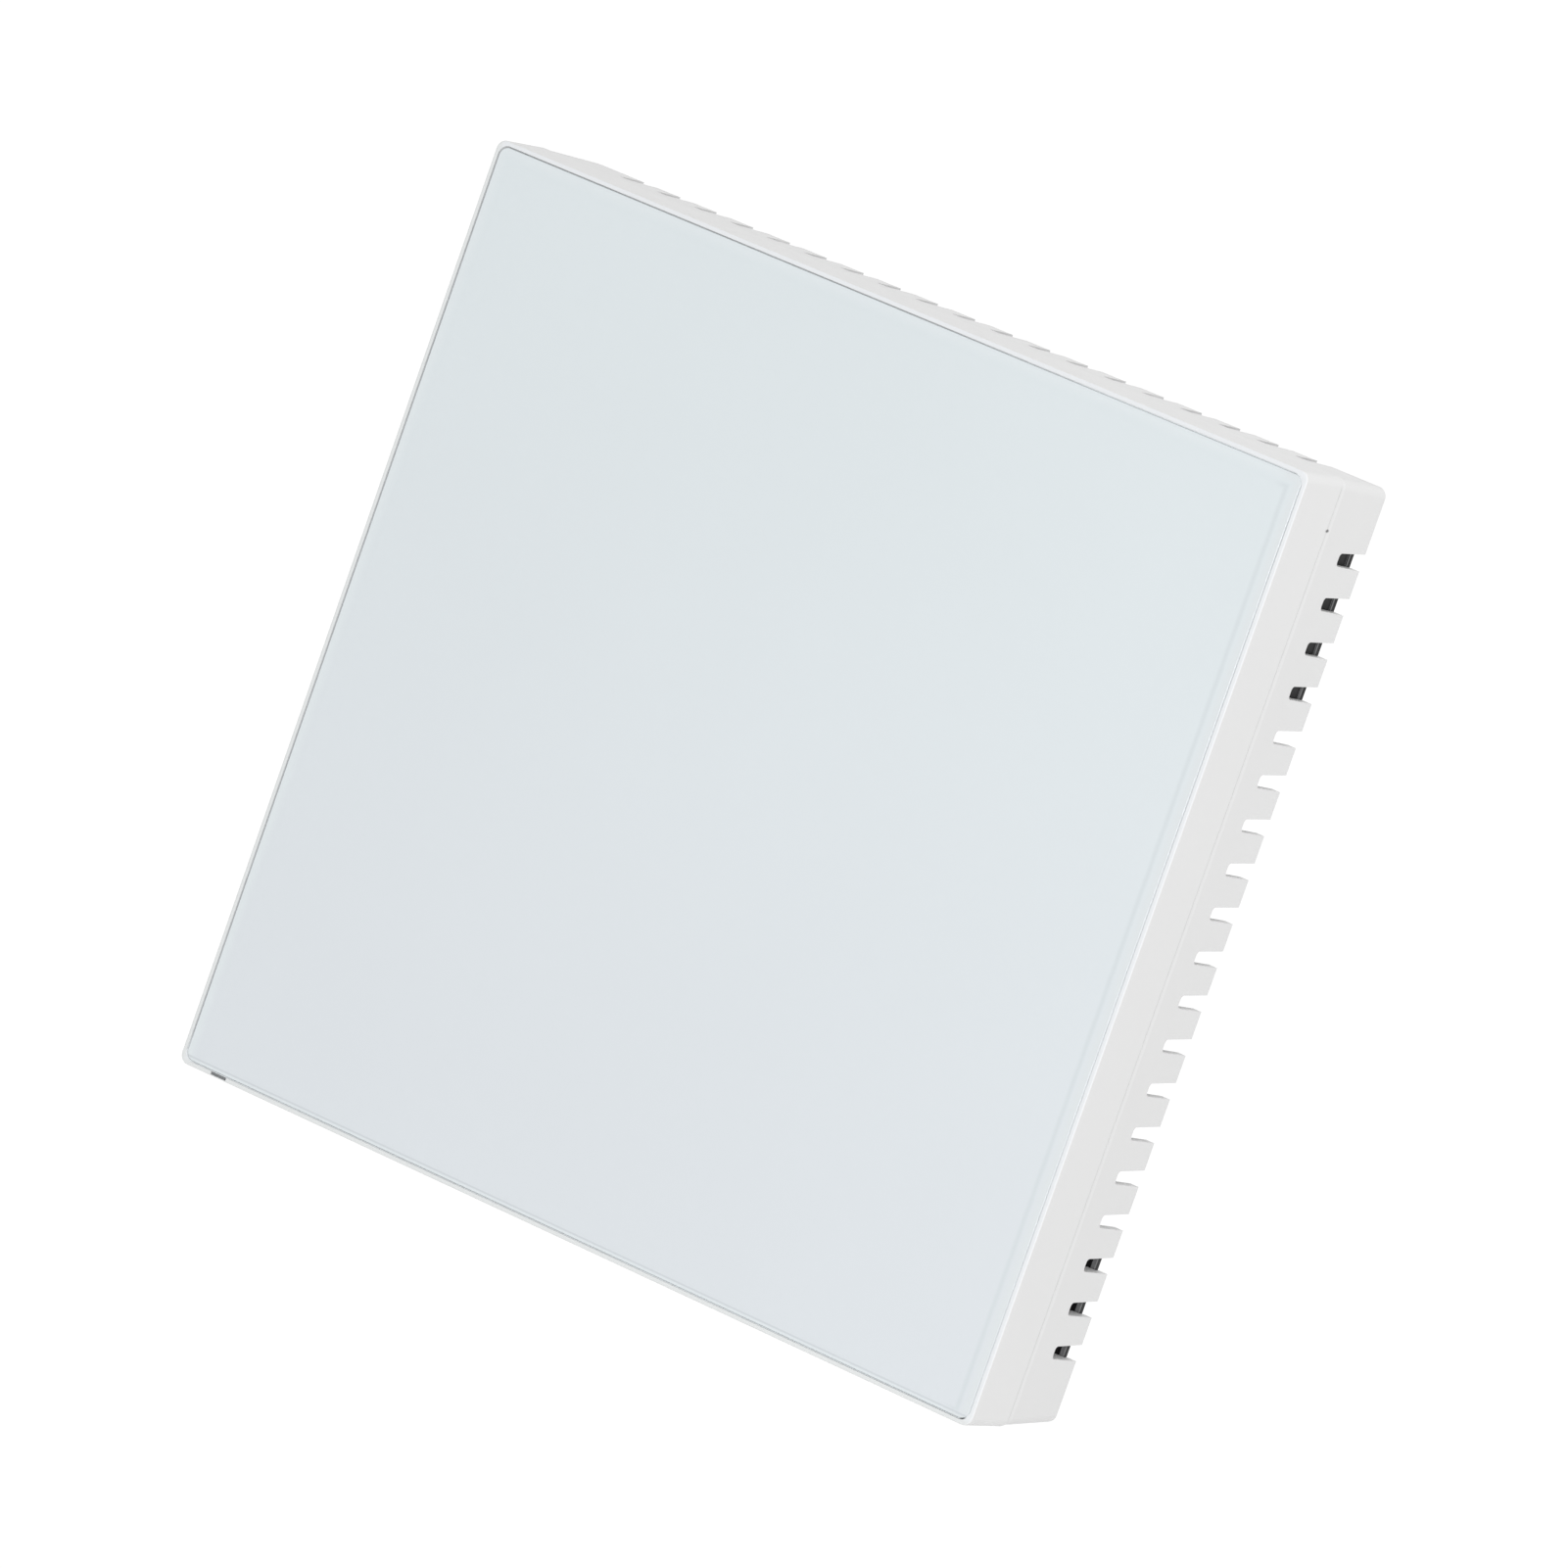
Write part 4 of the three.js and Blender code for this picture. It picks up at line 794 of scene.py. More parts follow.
def repeated(made, count, step, rows=1, centre=(0.0, 0.0, 0.0), material=None):
    values = {"Count": count, "Step": step, "Rows": rows, "Centre": centre}
    return runTree(made, rowsOfCopies, values, material)


def sideBrick(side, xEnds, yEnds, zEnds, margin=0.0):
    # given in millimetres for the right half; side mirrors it
    return brick(
        [side * (xEnds[0] - margin) * mm, side * (xEnds[1] + margin) * mm],
        [(yEnds[0] - margin) * mm, yEnds[1] * mm],
        [(zEnds[0] - margin) * mm, (zEnds[1] + margin) * mm],
    )


def sidePeg(side, x, z, radius, yEnds, count=32, endRadius=None):
    return peg(side * x * mm, z * mm, radius * mm, inMm(yEnds), count, endRadius and endRadius * mm)


# Glass panel: a thin slab with a polished chamfer, rounded corners and a flush front.

glassSet = inMm({"grow": 0.02, "chamfer": 0.06, "corner": 0.78, "soften": 0.04})


def makeGlassPanel():
    low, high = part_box("glass_panel")
    half, front, back = high.x + glassSet["grow"], low.y, high.y
    chamfer, corner, soften = (glassSet[key] for key in ("chamfer", "corner", "soften"))
    rings = (
        (front, half - chamfer - soften, corner - soften),
        (front + 0.2 * soften, half - chamfer, corner),
        (front + chamfer, half - 0.1 * soften, corner + chamfer - 0.1 * soften),
        (front + chamfer + soften, half, corner + chamfer),
        (back - soften, half, corner + chamfer),
        (back, half - soften, corner + chamfer - soften),
    )
    panel = skinned([roundedRing(*ring) for ring in rings])
    placed(panel, makeGlass("whiteGlass", half, front), "glass_panel", width=0)


makeGlassPanel()
print("glass panel made")


# Front shell: a thin rim round the glass, a tray behind it, and posts for the screws and the board.

frontShellSet = {
    # painted highlight on the flat front of the rim round the glass, with painted shade at the left and the
    # bottom
    "rimGlow": {
        "at": -15.1 * mm, "width": 0.05 * mm, "color": (0.83, 0.85, 0.87), "farColor": (0.78, 0.80, 0.80),
    },
    **inMm({
        "edgeRadius": 0.14,
        "corner": 0.9,
        "wall": 1.2,
        "rim": 0.39,
        "seatCorner": 0.9,
        "seam": -8.9,
        "tray": (-13.3, -12.3),
        "window": ((-25.3, 25.3), (-2.3, 18.3)),
        "keyHole": 4.5,
        "keys": [(-27, -26), (-9, -26), (9, -26), (27, -26)],
        "prySlot": ((-39.5, -37.8), (-42.88, -42.4)),
        "bosses": [(sideX * 36.4, sideZ * 36.4) for sideX, sideZ in corners],
        "boss": (2.6, 1.15, -6.64),
        "pilotDepth": 0.5,
        "stakes": [(side * 33, z) for side in sides for z in (26, -12)],
        "stakeSteps": [(0.8, -12.8, -10.2), (1.6, -12.8, -11.64), (1.28, -10.56, -9.8)],
    }),
}


def makeFrontShell():
    sizes = frontShellSet
    low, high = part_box("front_shell")
    half, front, seam = high.x, low.y, sizes["seam"]
    radius, corner = sizes["edgeRadius"], sizes["corner"]
    rings = []
    for step in range(7):
        angle = math.pi / 2 * step / 6
        inset, y = radius * (1 - math.sin(angle)), front + radius * (1 - math.cos(angle))
        rings.append(roundedRing(y, half - inset, corner - inset, steps=10))
    rings.append(roundedRing(seam, half, corner, steps=10))
    trayFront, trayBack = sizes["tray"]
    through = past(sizes["tray"])
    pegRadius, pilotRadius, bossEnd = sizes["boss"]
    windowX, windowZ = sizes["window"]
    slotX, slotZ = sizes["prySlot"]
    cuts = [
        slab(half - sizes["rim"], sizes["seatCorner"], (front - overcut, trayFront), steps=10),
        slab(half - sizes["wall"], corner / 2, (trayBack, seam + overcut)),
        brick(windowX, through, windowZ),
        brick(slotX, past((front, trayBack)), slotZ),
    ]
    cuts += [peg(x, z, sizes["keyHole"], through, 48) for x, z in sizes["keys"]]
    shell = carved(skinned(rings), cuts=cuts)
    inside = (trayFront + trayBack) / 2
    posts = [peg(x, z, pegRadius, (inside, bossEnd)) for x, z in sizes["bosses"]]
    for x, z in sizes["stakes"]:
        posts += [peg(x, z, stake, (start, end), 24) for stake, start, end in sizes["stakeSteps"]]
    pilot = (trayBack + sizes["pilotDepth"], bossEnd + overcut)
    carved(shell, joins=posts, cuts=[peg(x, z, pilotRadius, pilot) for x, z in sizes["bosses"]])
    material = makeBandedPlastic("frontPlastic", "whitePlastic", **sizes["rimGlow"])
    placed(shell, material, "front_shell", width=0.05)


makeFrontShell()
print("front shell made")


# Rear shell: a tapered skirt with a comb of vents along all four rear edges. The comb follows
# a rule, so Geometry Nodes cut it; the sizes are the inputs of that tree.

rearShellSet = {
    # painted highlight along the rear shell's front edge at the seam, a little darker at the left and the
    # bottom as painted shade
    "seamGlow": {
        "at": -8.25 * mm, "width": 0.3 * mm, "color": (0.81, 0.81, 0.81), "farColor": (0.79, 0.79, 0.79),
    },
    **inMm({
        "halfSeam": 42.92,
        "halfWall": 42.6,
        "corner": 0.9,
        "seam": -8.7,
        "lip": (41.55, 40.65, -10.3),
        "divider": (-6.6, -5.6),
        "recess": (41.75, 1.5),
        "bay": ((-31, 31), (-6.6, -0.4), (7, 37)),
        "bayRoom": ((-30, 30), (-7.6, -1.4), (8, 36)),
        "posts": [(side * 35.5, 22) for side in sides],
        "post": (1.8, (-6.96, -3.1)),
        "postHole": (0.95, (-8, -4.65)),
        "screws": [(sideX * 36.4, sideZ * 36.4) for sideX, sideZ in corners],
        "screwHole": (1.15, (-7.6, -4.6)),
        "vents": [-28, -24, -20],
        "vent": (0.75, (-7.6, -4.6), (-39.2, -35.6)),
        "hooks": (-20, 20),
        "hook": (3, (-2.2, -1.2), (40.65, 42.1)),
        "catchRib": ((-5, 5), (-3.5, -2.7), (-42.1, -41.5)),
    }),
    # in millimetres for the right half
    "pocket": ((22.7, 34.2), (-8.7, -5.6), (-33.5, -7.5)),
    "pocketRoom": ((22.7, 34.2), (-8.7, -4.6), (-33.5, -7.5)),
    "pocketWall": 0.7,
    "pads": ((41.0, 42.0), (-5.8, -0.9), (-38.0, -26.7)),
    "socket": ((35.25, 38.55), (-7.6, -4.6), (-33.35, -7.65)),
}

combSet = {
    "Notch Pitch": 4.0 * mm,
    "Notches Per Side": 19,
    "Mouth Width": 1.5 * mm,
    "End Width": 1.15 * mm,
    "Notch Depth": 4.7 * mm,
    "Notch Rounding": 0.38 * mm,
    "Reach From": 40.75 * mm,
    "Reach To": 44.0 * mm,
}


def combTree():
    given = newTree("ventComb", combSet)
    depth, endWidth, mouthWidth = (given[key] for key in ("Notch Depth", "End Width", "Mouth Width"))
    slope = over(minus(mouthWidth, endWidth), depth)
    mouth = result("ShaderNodeMath", {0: slope, 1: overcut, 2: mouthWidth}, operation="MULTIPLY_ADD")
    outline = result("GeometryNodeCurvePrimitiveQuadrilateral", {
        "Height": plus(depth, overcut), "Bottom Width": endWidth, "Top Width": mouth, "Offset": 0.0,
    }, mode="TRAPEZOID")
    filled = result("GeometryNodeFillCurve", {0: filleted(outline, given["Notch Rounding"], 5)})
    rise = over(minus(overcut, depth), 2.0)
    face = moved(filled, Translation=vector(0.0, rise, given["Reach From"]))
    reach = minus(given["Reach To"], given["Reach From"])
    grown = result("GeometryNodeExtrudeMesh", {
        "Mesh": face, "Offset": vector(0.0, 0.0, 1.0), "Offset Scale": reach, "Individual": False,
    })
    pieces = joined(grown, result("GeometryNodeFlipFaces", {0: face}))
    cutter = result("GeometryNodeMergeByDistance", {"Geometry": pieces, "Distance": 0.001 * mm})
    start = over(times(minus(given["Notches Per Side"], 1.0), given["Notch Pitch"]), -2.0)
    row = lineOf(given["Notches Per Side"], vector(given["Notch Pitch"]), vector(start))
    quarters = vector(0.0, turnByIndex(math.pi / 2), 0.0)
    allSides = instanced(lineOf(4), instanced(row, cutter), Rotation=quarters)
    cutters = result("GeometryNodeRealizeInstances", {0: allSides})
    return closeTree(combined("DIFFERENCE", given["Geometry"], cutters))


def makeRearShell():
    sizes = rearShellSet
    seam, corner = sizes["seam"], sizes["corner"]
    lipOut, lipIn, lipFront = sizes["lip"]
    dividerFront, dividerBack = sizes["divider"]
    skirt = ((seam, sizes["halfSeam"]), (0.0, sizes["halfWall"]))
    shell = skinned([roundedRing(y, half, corner, steps=10) for y, half in skirt])
    lip = slab(lipOut, corner / 2, (lipFront, seam + overcut))
    cavity = slab(lipIn, corner / 2, (lipFront - overcut, dividerFront))
    room = slab(*sizes["recess"], (dividerBack, overcut))
    carved(shell, joins=[lip], cuts=[cavity, room])
    joins = [brick(*sizes["bay"])]
    joins += [sideBrick(side, *sizes["pocket"], margin=sizes["pocketWall"]) for side in sides]
    joins += [sideBrick(side, *sizes["pads"]) for side in sides]
    joins += [peg(x, z, *sizes["post"]) for x, z in sizes["posts"]]
    cuts = [brick(*sizes["bayRoom"])]
    cuts += [sideBrick(side, *sizes["pocketRoom"]) for side in sides]
    cuts += [sideBrick(side, *sizes["socket"]) for side in sides]
    cuts += [peg(x, z, *sizes["postHole"], 24) for x, z in sizes["posts"]]
    cuts += [peg(x, z, *sizes["screwHole"], 24) for x, z in sizes["screws"]]
    ventHalf, *ventEnds = sizes["vent"]
    cuts += [brick(about(x, ventHalf), *ventEnds) for x in sizes["vents"]]
    carved(shell, joins=joins, cuts=cuts)
    material = makeBandedPlastic("rearCasing", "rearPlastic", **sizes["seamGlow"])
    runTree(shell, combTree(), combSet, material)
    hookHalf, *hookEnds = sizes["hook"]
    ribs = [brick(about(x, hookHalf), *hookEnds) for x in sizes["hooks"]]
    carved(shell, joins=[*ribs, brick(*sizes["catchRib"])])
    placed(shell, material, "rear_shell", width=0.07)


makeRearShell()
print("rear shell made")


# Wall plate: a tray with an edge wall, a long waist in each side, and openings for the bay,
# the cables and the box screws. Its back has shallow ribbed pockets.

wallPlateSet = {
    "edgeStep": ((40.9, 42.0), (-5.0, 0.0), (-39.2, -24.0)),  # in millimetres for the right half
    # painted highlight: a grey streak along the plate's flange edge, only near its outside
    "edgeGlint": {
        "at": -0.66 * mm, "width": 0.14 * mm, "color": (0.2, 0.2, 0.205), "farColor": (0.2, 0.2, 0.205),
        "beyond": 41.2 * mm,
    },
    **inMm({
        "flange": (41.6, -0.7),
        "edge": (41.45, -4.4),
        "edgeInside": 40.45,
        "base": -1.6,
        "corner": 1.5,
        "waist": (2.15, -26, 23.05),
        "bayOpening": (31.6, 15.6, 22, 0.6),
        "cableOpening": (16, 10.25, -13.75, 4),
        "screwSlot": (4, 2.1, 30.15),
        "rim": (1.0, 0.7),
        "hooks": (-20, 20),
        "hookWindow": (3.8, -3.0, 40.25),
        "catchGap": (6.2, -39.6),
        "pocketDepth": 0.55,
        "ribWidth": 0.8,
        "ribPitch": 4.0,
        "pockets": [(-27.5, -19, 8.5, 12), (27.5, -19, 8.5, 12), (0.0, 1.5, 20, 2.6)],
    }),
}


def plateSolid(half, yEnds):
    depth, low, high = wallPlateSet["waist"]
    tall, middle = (high - low) / 2, (high + low) / 2
    away = half + depth
    waists = [slab(2 * depth, 0.99 * depth, past(yEnds), tall, side * away, middle) for side in sides]
    return carved(slab(half, wallPlateSet["corner"], yEnds), cuts=waists)


def makeWallPlate():
    sizes = wallPlateSet
    flange, flangeFront = sizes["flange"]
    edge, edgeFront = sizes["edge"]
    base, rimWidth, rimHeight = sizes["base"], *sizes["rim"]
    steps = [sideBrick(side, *sizes["edgeStep"]) for side in sides]
    inside = plateSolid(sizes["edgeInside"], (edgeFront - overcut, base))
    wall = carved(plateSolid(edge, (edgeFront, flangeFront / 2)), cuts=[inside, *steps])
    slotX, slotZ, slotAt = sizes["screwSlot"]
    openings = [sizes["bayOpening"], sizes["cableOpening"]]
    openings += [(slotX, slotZ, 0.0, 0.98 * slotZ, side * slotAt) for side in sides]

    def opened(yEnds, grow, halfX, halfZ, z, corner, x=0.0):
        return slab(halfX + grow, corner + grow, yEnds, halfZ + grow, x, z)

    rims = [opened((base - rimHeight, base / 2), rimWidth, *opening) for opening in openings]
    holes = [opened((edgeFront - overcut, overcut), 0.0, *opening) for opening in openings]
    hookHalf, hookFront, hookLow = sizes["hookWindow"]
    hookEnds = ((hookFront, flangeFront), (hookLow, flange + overcut))
    holes += [brick(about(x, hookHalf), *hookEnds) for x in sizes["hooks"]]
    catchHalf, catchTop = sizes["catchGap"]
    holes.append(brick(about(0.0, catchHalf), (edgeFront - overcut, base), (-flange - overcut, catchTop)))
    plate = carved(plateSolid(flange, (flangeFront, 0.0)), joins=[wall, *rims], cuts=holes)

    depth, ribHalf, pitch = sizes["pocketDepth"], sizes["ribWidth"] / 2, sizes["ribPitch"]
    pockets = []
    for x, z, halfX, halfZ in sizes["pockets"]:
        cell = brick((x - halfX, x - halfX + pitch - 2 * ribHalf), (-depth, overcut), about(z, halfZ))
        count = int((2 * halfX + 2 * ribHalf) / pitch)
        pockets.append(repeated(cell, count, (pitch, 0.0, 0.0)))
    carved(plate, cuts=pockets)
    material = makeBandedPlastic("plateBlack", "blackPlastic", **sizes["edgeGlint"])
    placed(plate, material, "wall_plate", width=0.1)


makeWallPlate()
print("wall plate made")


# Release catch: a springy tongue with a sloping barb.

catchSet = inMm({
    "halfWidth": 5,
    "tongue": (-40.55, -39.65),
    "ends": (-4.6, -1.64),
    "barb": (-41.2, -3.8, 0.25),
})


def makeCatch():
    sizes = catchSet
    outer, inner = sizes["tongue"]
    tip, root = sizes["ends"]
    barbTip, barbBack, flat = sizes["barb"]
    outline = [
        (root, inner), (tip, inner), (tip, outer), (barbBack - flat, barbTip), (barbBack, barbTip),
        (barbBack, outer), (root - flat, outer), (root, outer),
    ]
    catch = skinned([[(x, y, z) for y, z in outline] for x in about(0.0, sizes["halfWidth"])])
    placed(catch, "blackPlastic", "release_catch", width=0.1)


makeCatch()
print("release catch made")


# Terminals, all given in millimetres for the block on the right; side mirrors them.

terminalSet = {
    "screwAt": 28.7,
    "places": (-12.5, -20.5, -28.5),
    "ends": (-33.0, -8.0),
    "column": ((23.2, 33.7), (-8.2, -1.64)),
    "ledge": ((28.7, 37.6), (-3.76, -1.64)),
    "cage": (2.6, -6.5, -2.9, 0.7),
    "cageHole": 1.32,
    "cageSlit": 0.06,
    "teeth": (7, 0.573),
    "room": (2.9, -6.6),
    "head": (2.35, -7.0),
    "headFlare": 0.35,
    "shank": (1.45, -6.5),
    "bar": (-4.4, -3.8, 1.5),
    "barStart": 26.1,
    "barPlay": 0.04,
    "dimple": (34.2, 0.45, 0.12),
    "pin": (36.5, 37.1, -6.6, 0.4),
    "wireHalf": 1.6,
    "wireBack": -1.7,
    "funnel": 0.5,
    "groove": (0.5, 0.5),
    "grooves": (-16.5, -24.5),
}


def sideFunnel(side, x, reach, yEnds, zEnds, grow):
    # a four-sided funnel that opens along X from x towards x + reach
    rings = []
    for at, more in ((x, 0.0), (x + reach, grow)):
        (front, back), (low, high) = past(yEnds, more, more), past(zEnds, more, more)
        square = ((front, low), (back, low), (back, high), (front, high))
        rings.append([(side * at * mm, y * mm, z * mm) for y, z in square])
    return skinned(rings)


def makeTerminalBlock(node, side):
    sizes = terminalSet
    at, ends, (columnX, columnY) = sizes["screwAt"], sizes["ends"], sizes["column"]
    start, outside, front, play = columnX[0], columnX[1] + 1, columnY[0], sizes["barPlay"]
    roomHalf, roomFront = sizes["room"]
    barFront, barBack, barHalf = sizes["bar"]
    headRadius, headSeat = sizes["head"]
    shankRadius, shankEnd = sizes["shank"]
    flare, wire, funnel = sizes["headFlare"], sizes["wireHalf"], sizes["funnel"]
    wireY, barY = (barBack + play, sizes["wireBack"]), past((barFront, barBack), play, play)
    cuts = []
    for z in sizes["places"]:
        wireZ, barZ = about(z, wire), past(about(z, barHalf), play, play)
        cuts += [
            sideBrick(side, about(at, roomHalf), (roomFront, 0), about(z, roomHalf)),
            sidePeg(side, at, z, headRadius, (front - 1, headSeat), 40),
            sidePeg(side, at, z, headRadius + flare, (front - 0.01, front + flare), 40, headRadius),
            sidePeg(side, at, z, shankRadius, (headSeat - 1, shankEnd)),
            sideBrick(side, (at, outside), barY, barZ),
            sideBrick(side, (at, start - 1), wireY, wireZ),
            sideFunnel(side, start + funnel, -funnel - 0.01, wireY, wireZ, funnel * 0.6),
        ]
    depth, width = sizes["groove"]
    for z in sizes["grooves"]:
        grooveZ = about(z, width / 2)
        cuts.append(sideBrick(side, (start - 1, outside), (front - 1, front + depth), grooveZ))
        cuts.append(sideBrick(side, (start - 1, start + depth), (front - 1, 0), grooveZ))
    body, ledge = (sideBrick(side, *sizes[part], ends) for part in ("column", "ledge"))
    placed(carved(body, joins=[ledge], cuts=cuts), "terminalPlastic", node, width=0.1)


def makeContactPin(node, side, z):
    sizes = terminalSet
    barFront, barBack, barHalf = sizes["bar"]
    inner, outer, tip, half = sizes["pin"]
    bar = sideBrick(side, (sizes["barStart"], outer), (barFront, barBack), about(z, barHalf))
    ring = [(inner, -half), (outer, -half), (outer, half), (inner, half)]
    centre = (inner + outer) / 2
    rings = []
    for y, share in ((tip, 0.45), (tip + 0.5, 1.0), (barBack, 1.0)):
        square = [(centre + (x - centre) * share, z + dz * share) for x, dz in ring]
        rings.append([(side * x * mm, y * mm, up * mm) for x, up in square])
    x, radius, depth = sizes["dimple"]
    dimple = sidePeg(side, x, z, radius, (barFront - 1, barFront + depth), 20)
    placed(carved(bar, joins=[skinned(rings)], cuts=[dimple]), "contactBrass", node, width=0.06)


def makeCage(node, side, z):
    sizes = terminalSet
    half, front, back, wall = sizes["cage"]
    at = sizes["screwAt"]
    made = sideBrick(side, about(at, half), (front, back), about(z, half))
    beyond = past(about(at, half), 1, 1)
    cuts = [
        sideBrick(side, beyond, (front + wall, back - wall), past(about(z, half), -wall, -wall)),
        sidePeg(side, at, z, sizes["cageHole"], (front - 1, front + wall + 1)),
        sideBrick(side, beyond, (back - 0.5, back + 1), about(z, sizes["cageSlit"])),
    ]
    carved(made, cuts=cuts)
    y = (back - wall + 0.02) * mm
    ridge = ((-2.0, y), (-1.72, y - 0.16 * mm), (-1.44, y))
    ends = about(z, 1.6)
    tooth = skinned([[((side * at + x) * mm, y, end * mm) for x, y in ridge] for end in ends])
    count, pitch = sizes["teeth"]
    carved(made, joins=[repeated(tooth, count, (pitch * mm, 0.0, 0.0))])
    placed(made, "contactBrass", node, width=0.12)


makeTerminalBlock("terminal_block_left", -1)
makeTerminalBlock("terminal_block_right", 1)
for number in range(1, 7):
    side, place = (-1 if number < 4 else 1), terminalSet["places"][(number - 1) % 3]
    makeContactPin("contact_pin_" + str(number), side, place)
    makeCage("terminal_cage_" + str(number), side, place)
print("terminals made")


# Screws, by Geometry Nodes: a head with a driver slot or cross, a core and a helical thread.
# Head height, shank radius, thread pitch, slot width, slot depth, all in millimetres, and the slot's arms.

screwSets = {
    "terminal_screw": (1.05, 1.2, 0.5, 0.6, 0.6, 1),
    "case_screw": (1.0, 1.0, 0.7, 0.5, 0.55, 2),
    "board_screw": (0.9, 0.8, 0.6, 0.4, 0.5, 2),
}
headsAtBack = ("case_screw",)


def screwTree():
    given = newTree("threadedScrew", {
        "Head Radius": 2.0 * mm, "Head Height": 1.0 * mm, "Shank Radius": 1.0 * mm, "Shank Length": 4.0 * mm,
        "Thread Pitch": 0.6 * mm, "Slot Width": 0.5 * mm, "Slot Depth": 0.5 * mm, "Slot Arms": 1,
        "Place": (0.0, 0.0, 0.0), "Head Turn": 0.0,
    })
    # drawn along Z: the head's top is z = 0 and the shank runs to -Z
    radius, height, shank = (given[key] for key in ("Head Radius", "Head Height", "Shank Radius"))
    length, pitch = given["Shank Length"], given["Thread Pitch"]
    overlap = 0.05 * mm

    def cone(top, bottom, depth, topAt, sides=40):
        made = result("GeometryNodeMeshCone", {
            "Vertices": sides, "Radius Top": top, "Radius Bottom": bottom, "Depth": depth,
        })
        return moved(made, Translation=vector(0.0, 0.0, minus(topAt, depth)))

    chamfer = times(height, 0.22)
    heightDown = times(height, -1.0)
    crown = cone(minus(radius, chamfer), minus(radius, 0.01 * mm), plus(chamfer, 0.02 * mm), 0.0)
    barrel = cone(radius, radius, minus(height, chamfer), plus(times(chamfer, -1.0), 0.0))
    threadDepth = times(pitch, 0.32)
    coreRadius = minus(shank, threadDepth)
    coreTop, coreLength = plus(heightDown, overlap), plus(times(length, 0.86), overlap)
    core = cone(coreRadius, coreRadius, coreLength, coreTop, 28)
    tipTop = plus(minus(coreTop, coreLength), overlap)
    tip = cone(coreRadius, times(coreRadius, 0.75), plus(times(length, 0.14), overlap), tipTop, 28)
    threadLength = times(length, 0.78)
    spiral = result("GeometryNodeCurveSpiral", {
        "Resolution": 24, "Rotations": over(threadLength, pitch), "Start Radius": coreRadius,
        "End Radius": coreRadius, "Height": threadLength,
    })
    sunk = minus(minus(heightDown, threadLength), times(length, 0.1))
    lowered = moved(spiral, Translation=vector(0.0, 0.0, sunk))
    helix = addNode("GeometryNodeSetCurveNormal", {"Curve": lowered})
    helix.mode = "Z_UP"
    thread = wireAlong(helix.outputs[0], 3, threadDepth)
    solid = combined("UNION", crown, barrel, core, tip, thread)
    manyArms = math2("GREATER_THAN", given["Slot Arms"], 1.5)
    reach = result("GeometryNodeSwitch", {
        "Switch": manyArms, "False": times(radius, 3.0), "True": times(radius, 1.3),
    }, input_type="FLOAT")
    deep = times(given["Slot Depth"], 2.0)
    bar = result("GeometryNodeMeshCube", {"Size": vector(reach, given["Slot Width"], deep)})
    quarters = vector(0.0, 0.0, turnByIndex(math.pi / 2))
    bars = instanced(lineOf(given["Slot Arms"]), bar, Rotation=quarters)
    cut = combined("DIFFERENCE", solid, result("GeometryNodeRealizeInstances", {0: bars}))
    laid = moved(cut, Translation=given["Place"], Rotation=vector(given["Head Turn"], 0.0, 0.0))
    return closeTree(laid)


threadedScrew = screwTree()


def makeScrew(node, kind):
    *lengths, arms = screwSets[kind]
    head, shank, pitch, slotWidth, slotDepth = inMm(lengths)
    low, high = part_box(node)
    headBack = kind in headsAtBack
    values = {
        "Head Radius": (high.x - low.x) / 2,
        "Head Height": head,
        "Shank Radius": shank,
        "Shank Length": high.y - low.y - head,
        "Thread Pitch": pitch,
        "Slot Width": slotWidth,
        "Slot Depth": slotDepth,
        "Slot Arms": arms,
        "Place": ((low.x + high.x) / 2, high.y if headBack else low.y, (low.z + high.z) / 2),
        "Head Turn": -math.pi / 2 if headBack else math.pi / 2,
    }
    placed(runTree(pieceOf(), threadedScrew, values), "platedSteel", node, width=0)


for node in sorted(frame["nodes"]):
    kind = node.rsplit("_", 1)[0]
    if kind in screwSets:
        makeScrew(node, kind)
print("screws made")


# Tape ring between the glass and the tray

tapeSet = inMm({"outer": 42.28, "inner": 39.28, "depth": (-13.5, -13.34), "corner": 0.7})


def makeTape():
    sizes = tapeSet
    hole = slab(sizes["inner"], sizes["corner"], past(sizes["depth"]))
    tape = carved(slab(sizes["outer"], sizes["corner"], sizes["depth"]), cuts=[hole])
    placed(tape, "blackFoam", "panel_tape", width=0.02, steps=1)


makeTape()


# Sealant bead in the gap between the glass and the rim, painted with the gap's shade: darker at the left and
# the top, lighter at the right and the bottom

sealSet = {
    # the gap's colour in painted shade, where it is lit, and in the painted shade of a hollow at the corner
    "openColor": (0.50, 0.51, 0.52),
    "closedColor": (0.82, 0.85, 0.87),
    "hollowColor": (0.03, 0.03, 0.03),
    **inMm({
        "outer": 42.6,
        "inner": 42.515,
        "depth": (-15.06, -13.36),
        "corner": (0.88, 0.84),
        "slotFill": ((-39.48, -37.82), (-14.92, -13.36), (-42.86, -42.6)),
        "closing": (2, 26),
        "below": (-40, -42),
        "gapCorner": (42.1, 0.0, -42.5),
        "hollow": (0.12, 0.4),
    }),
}


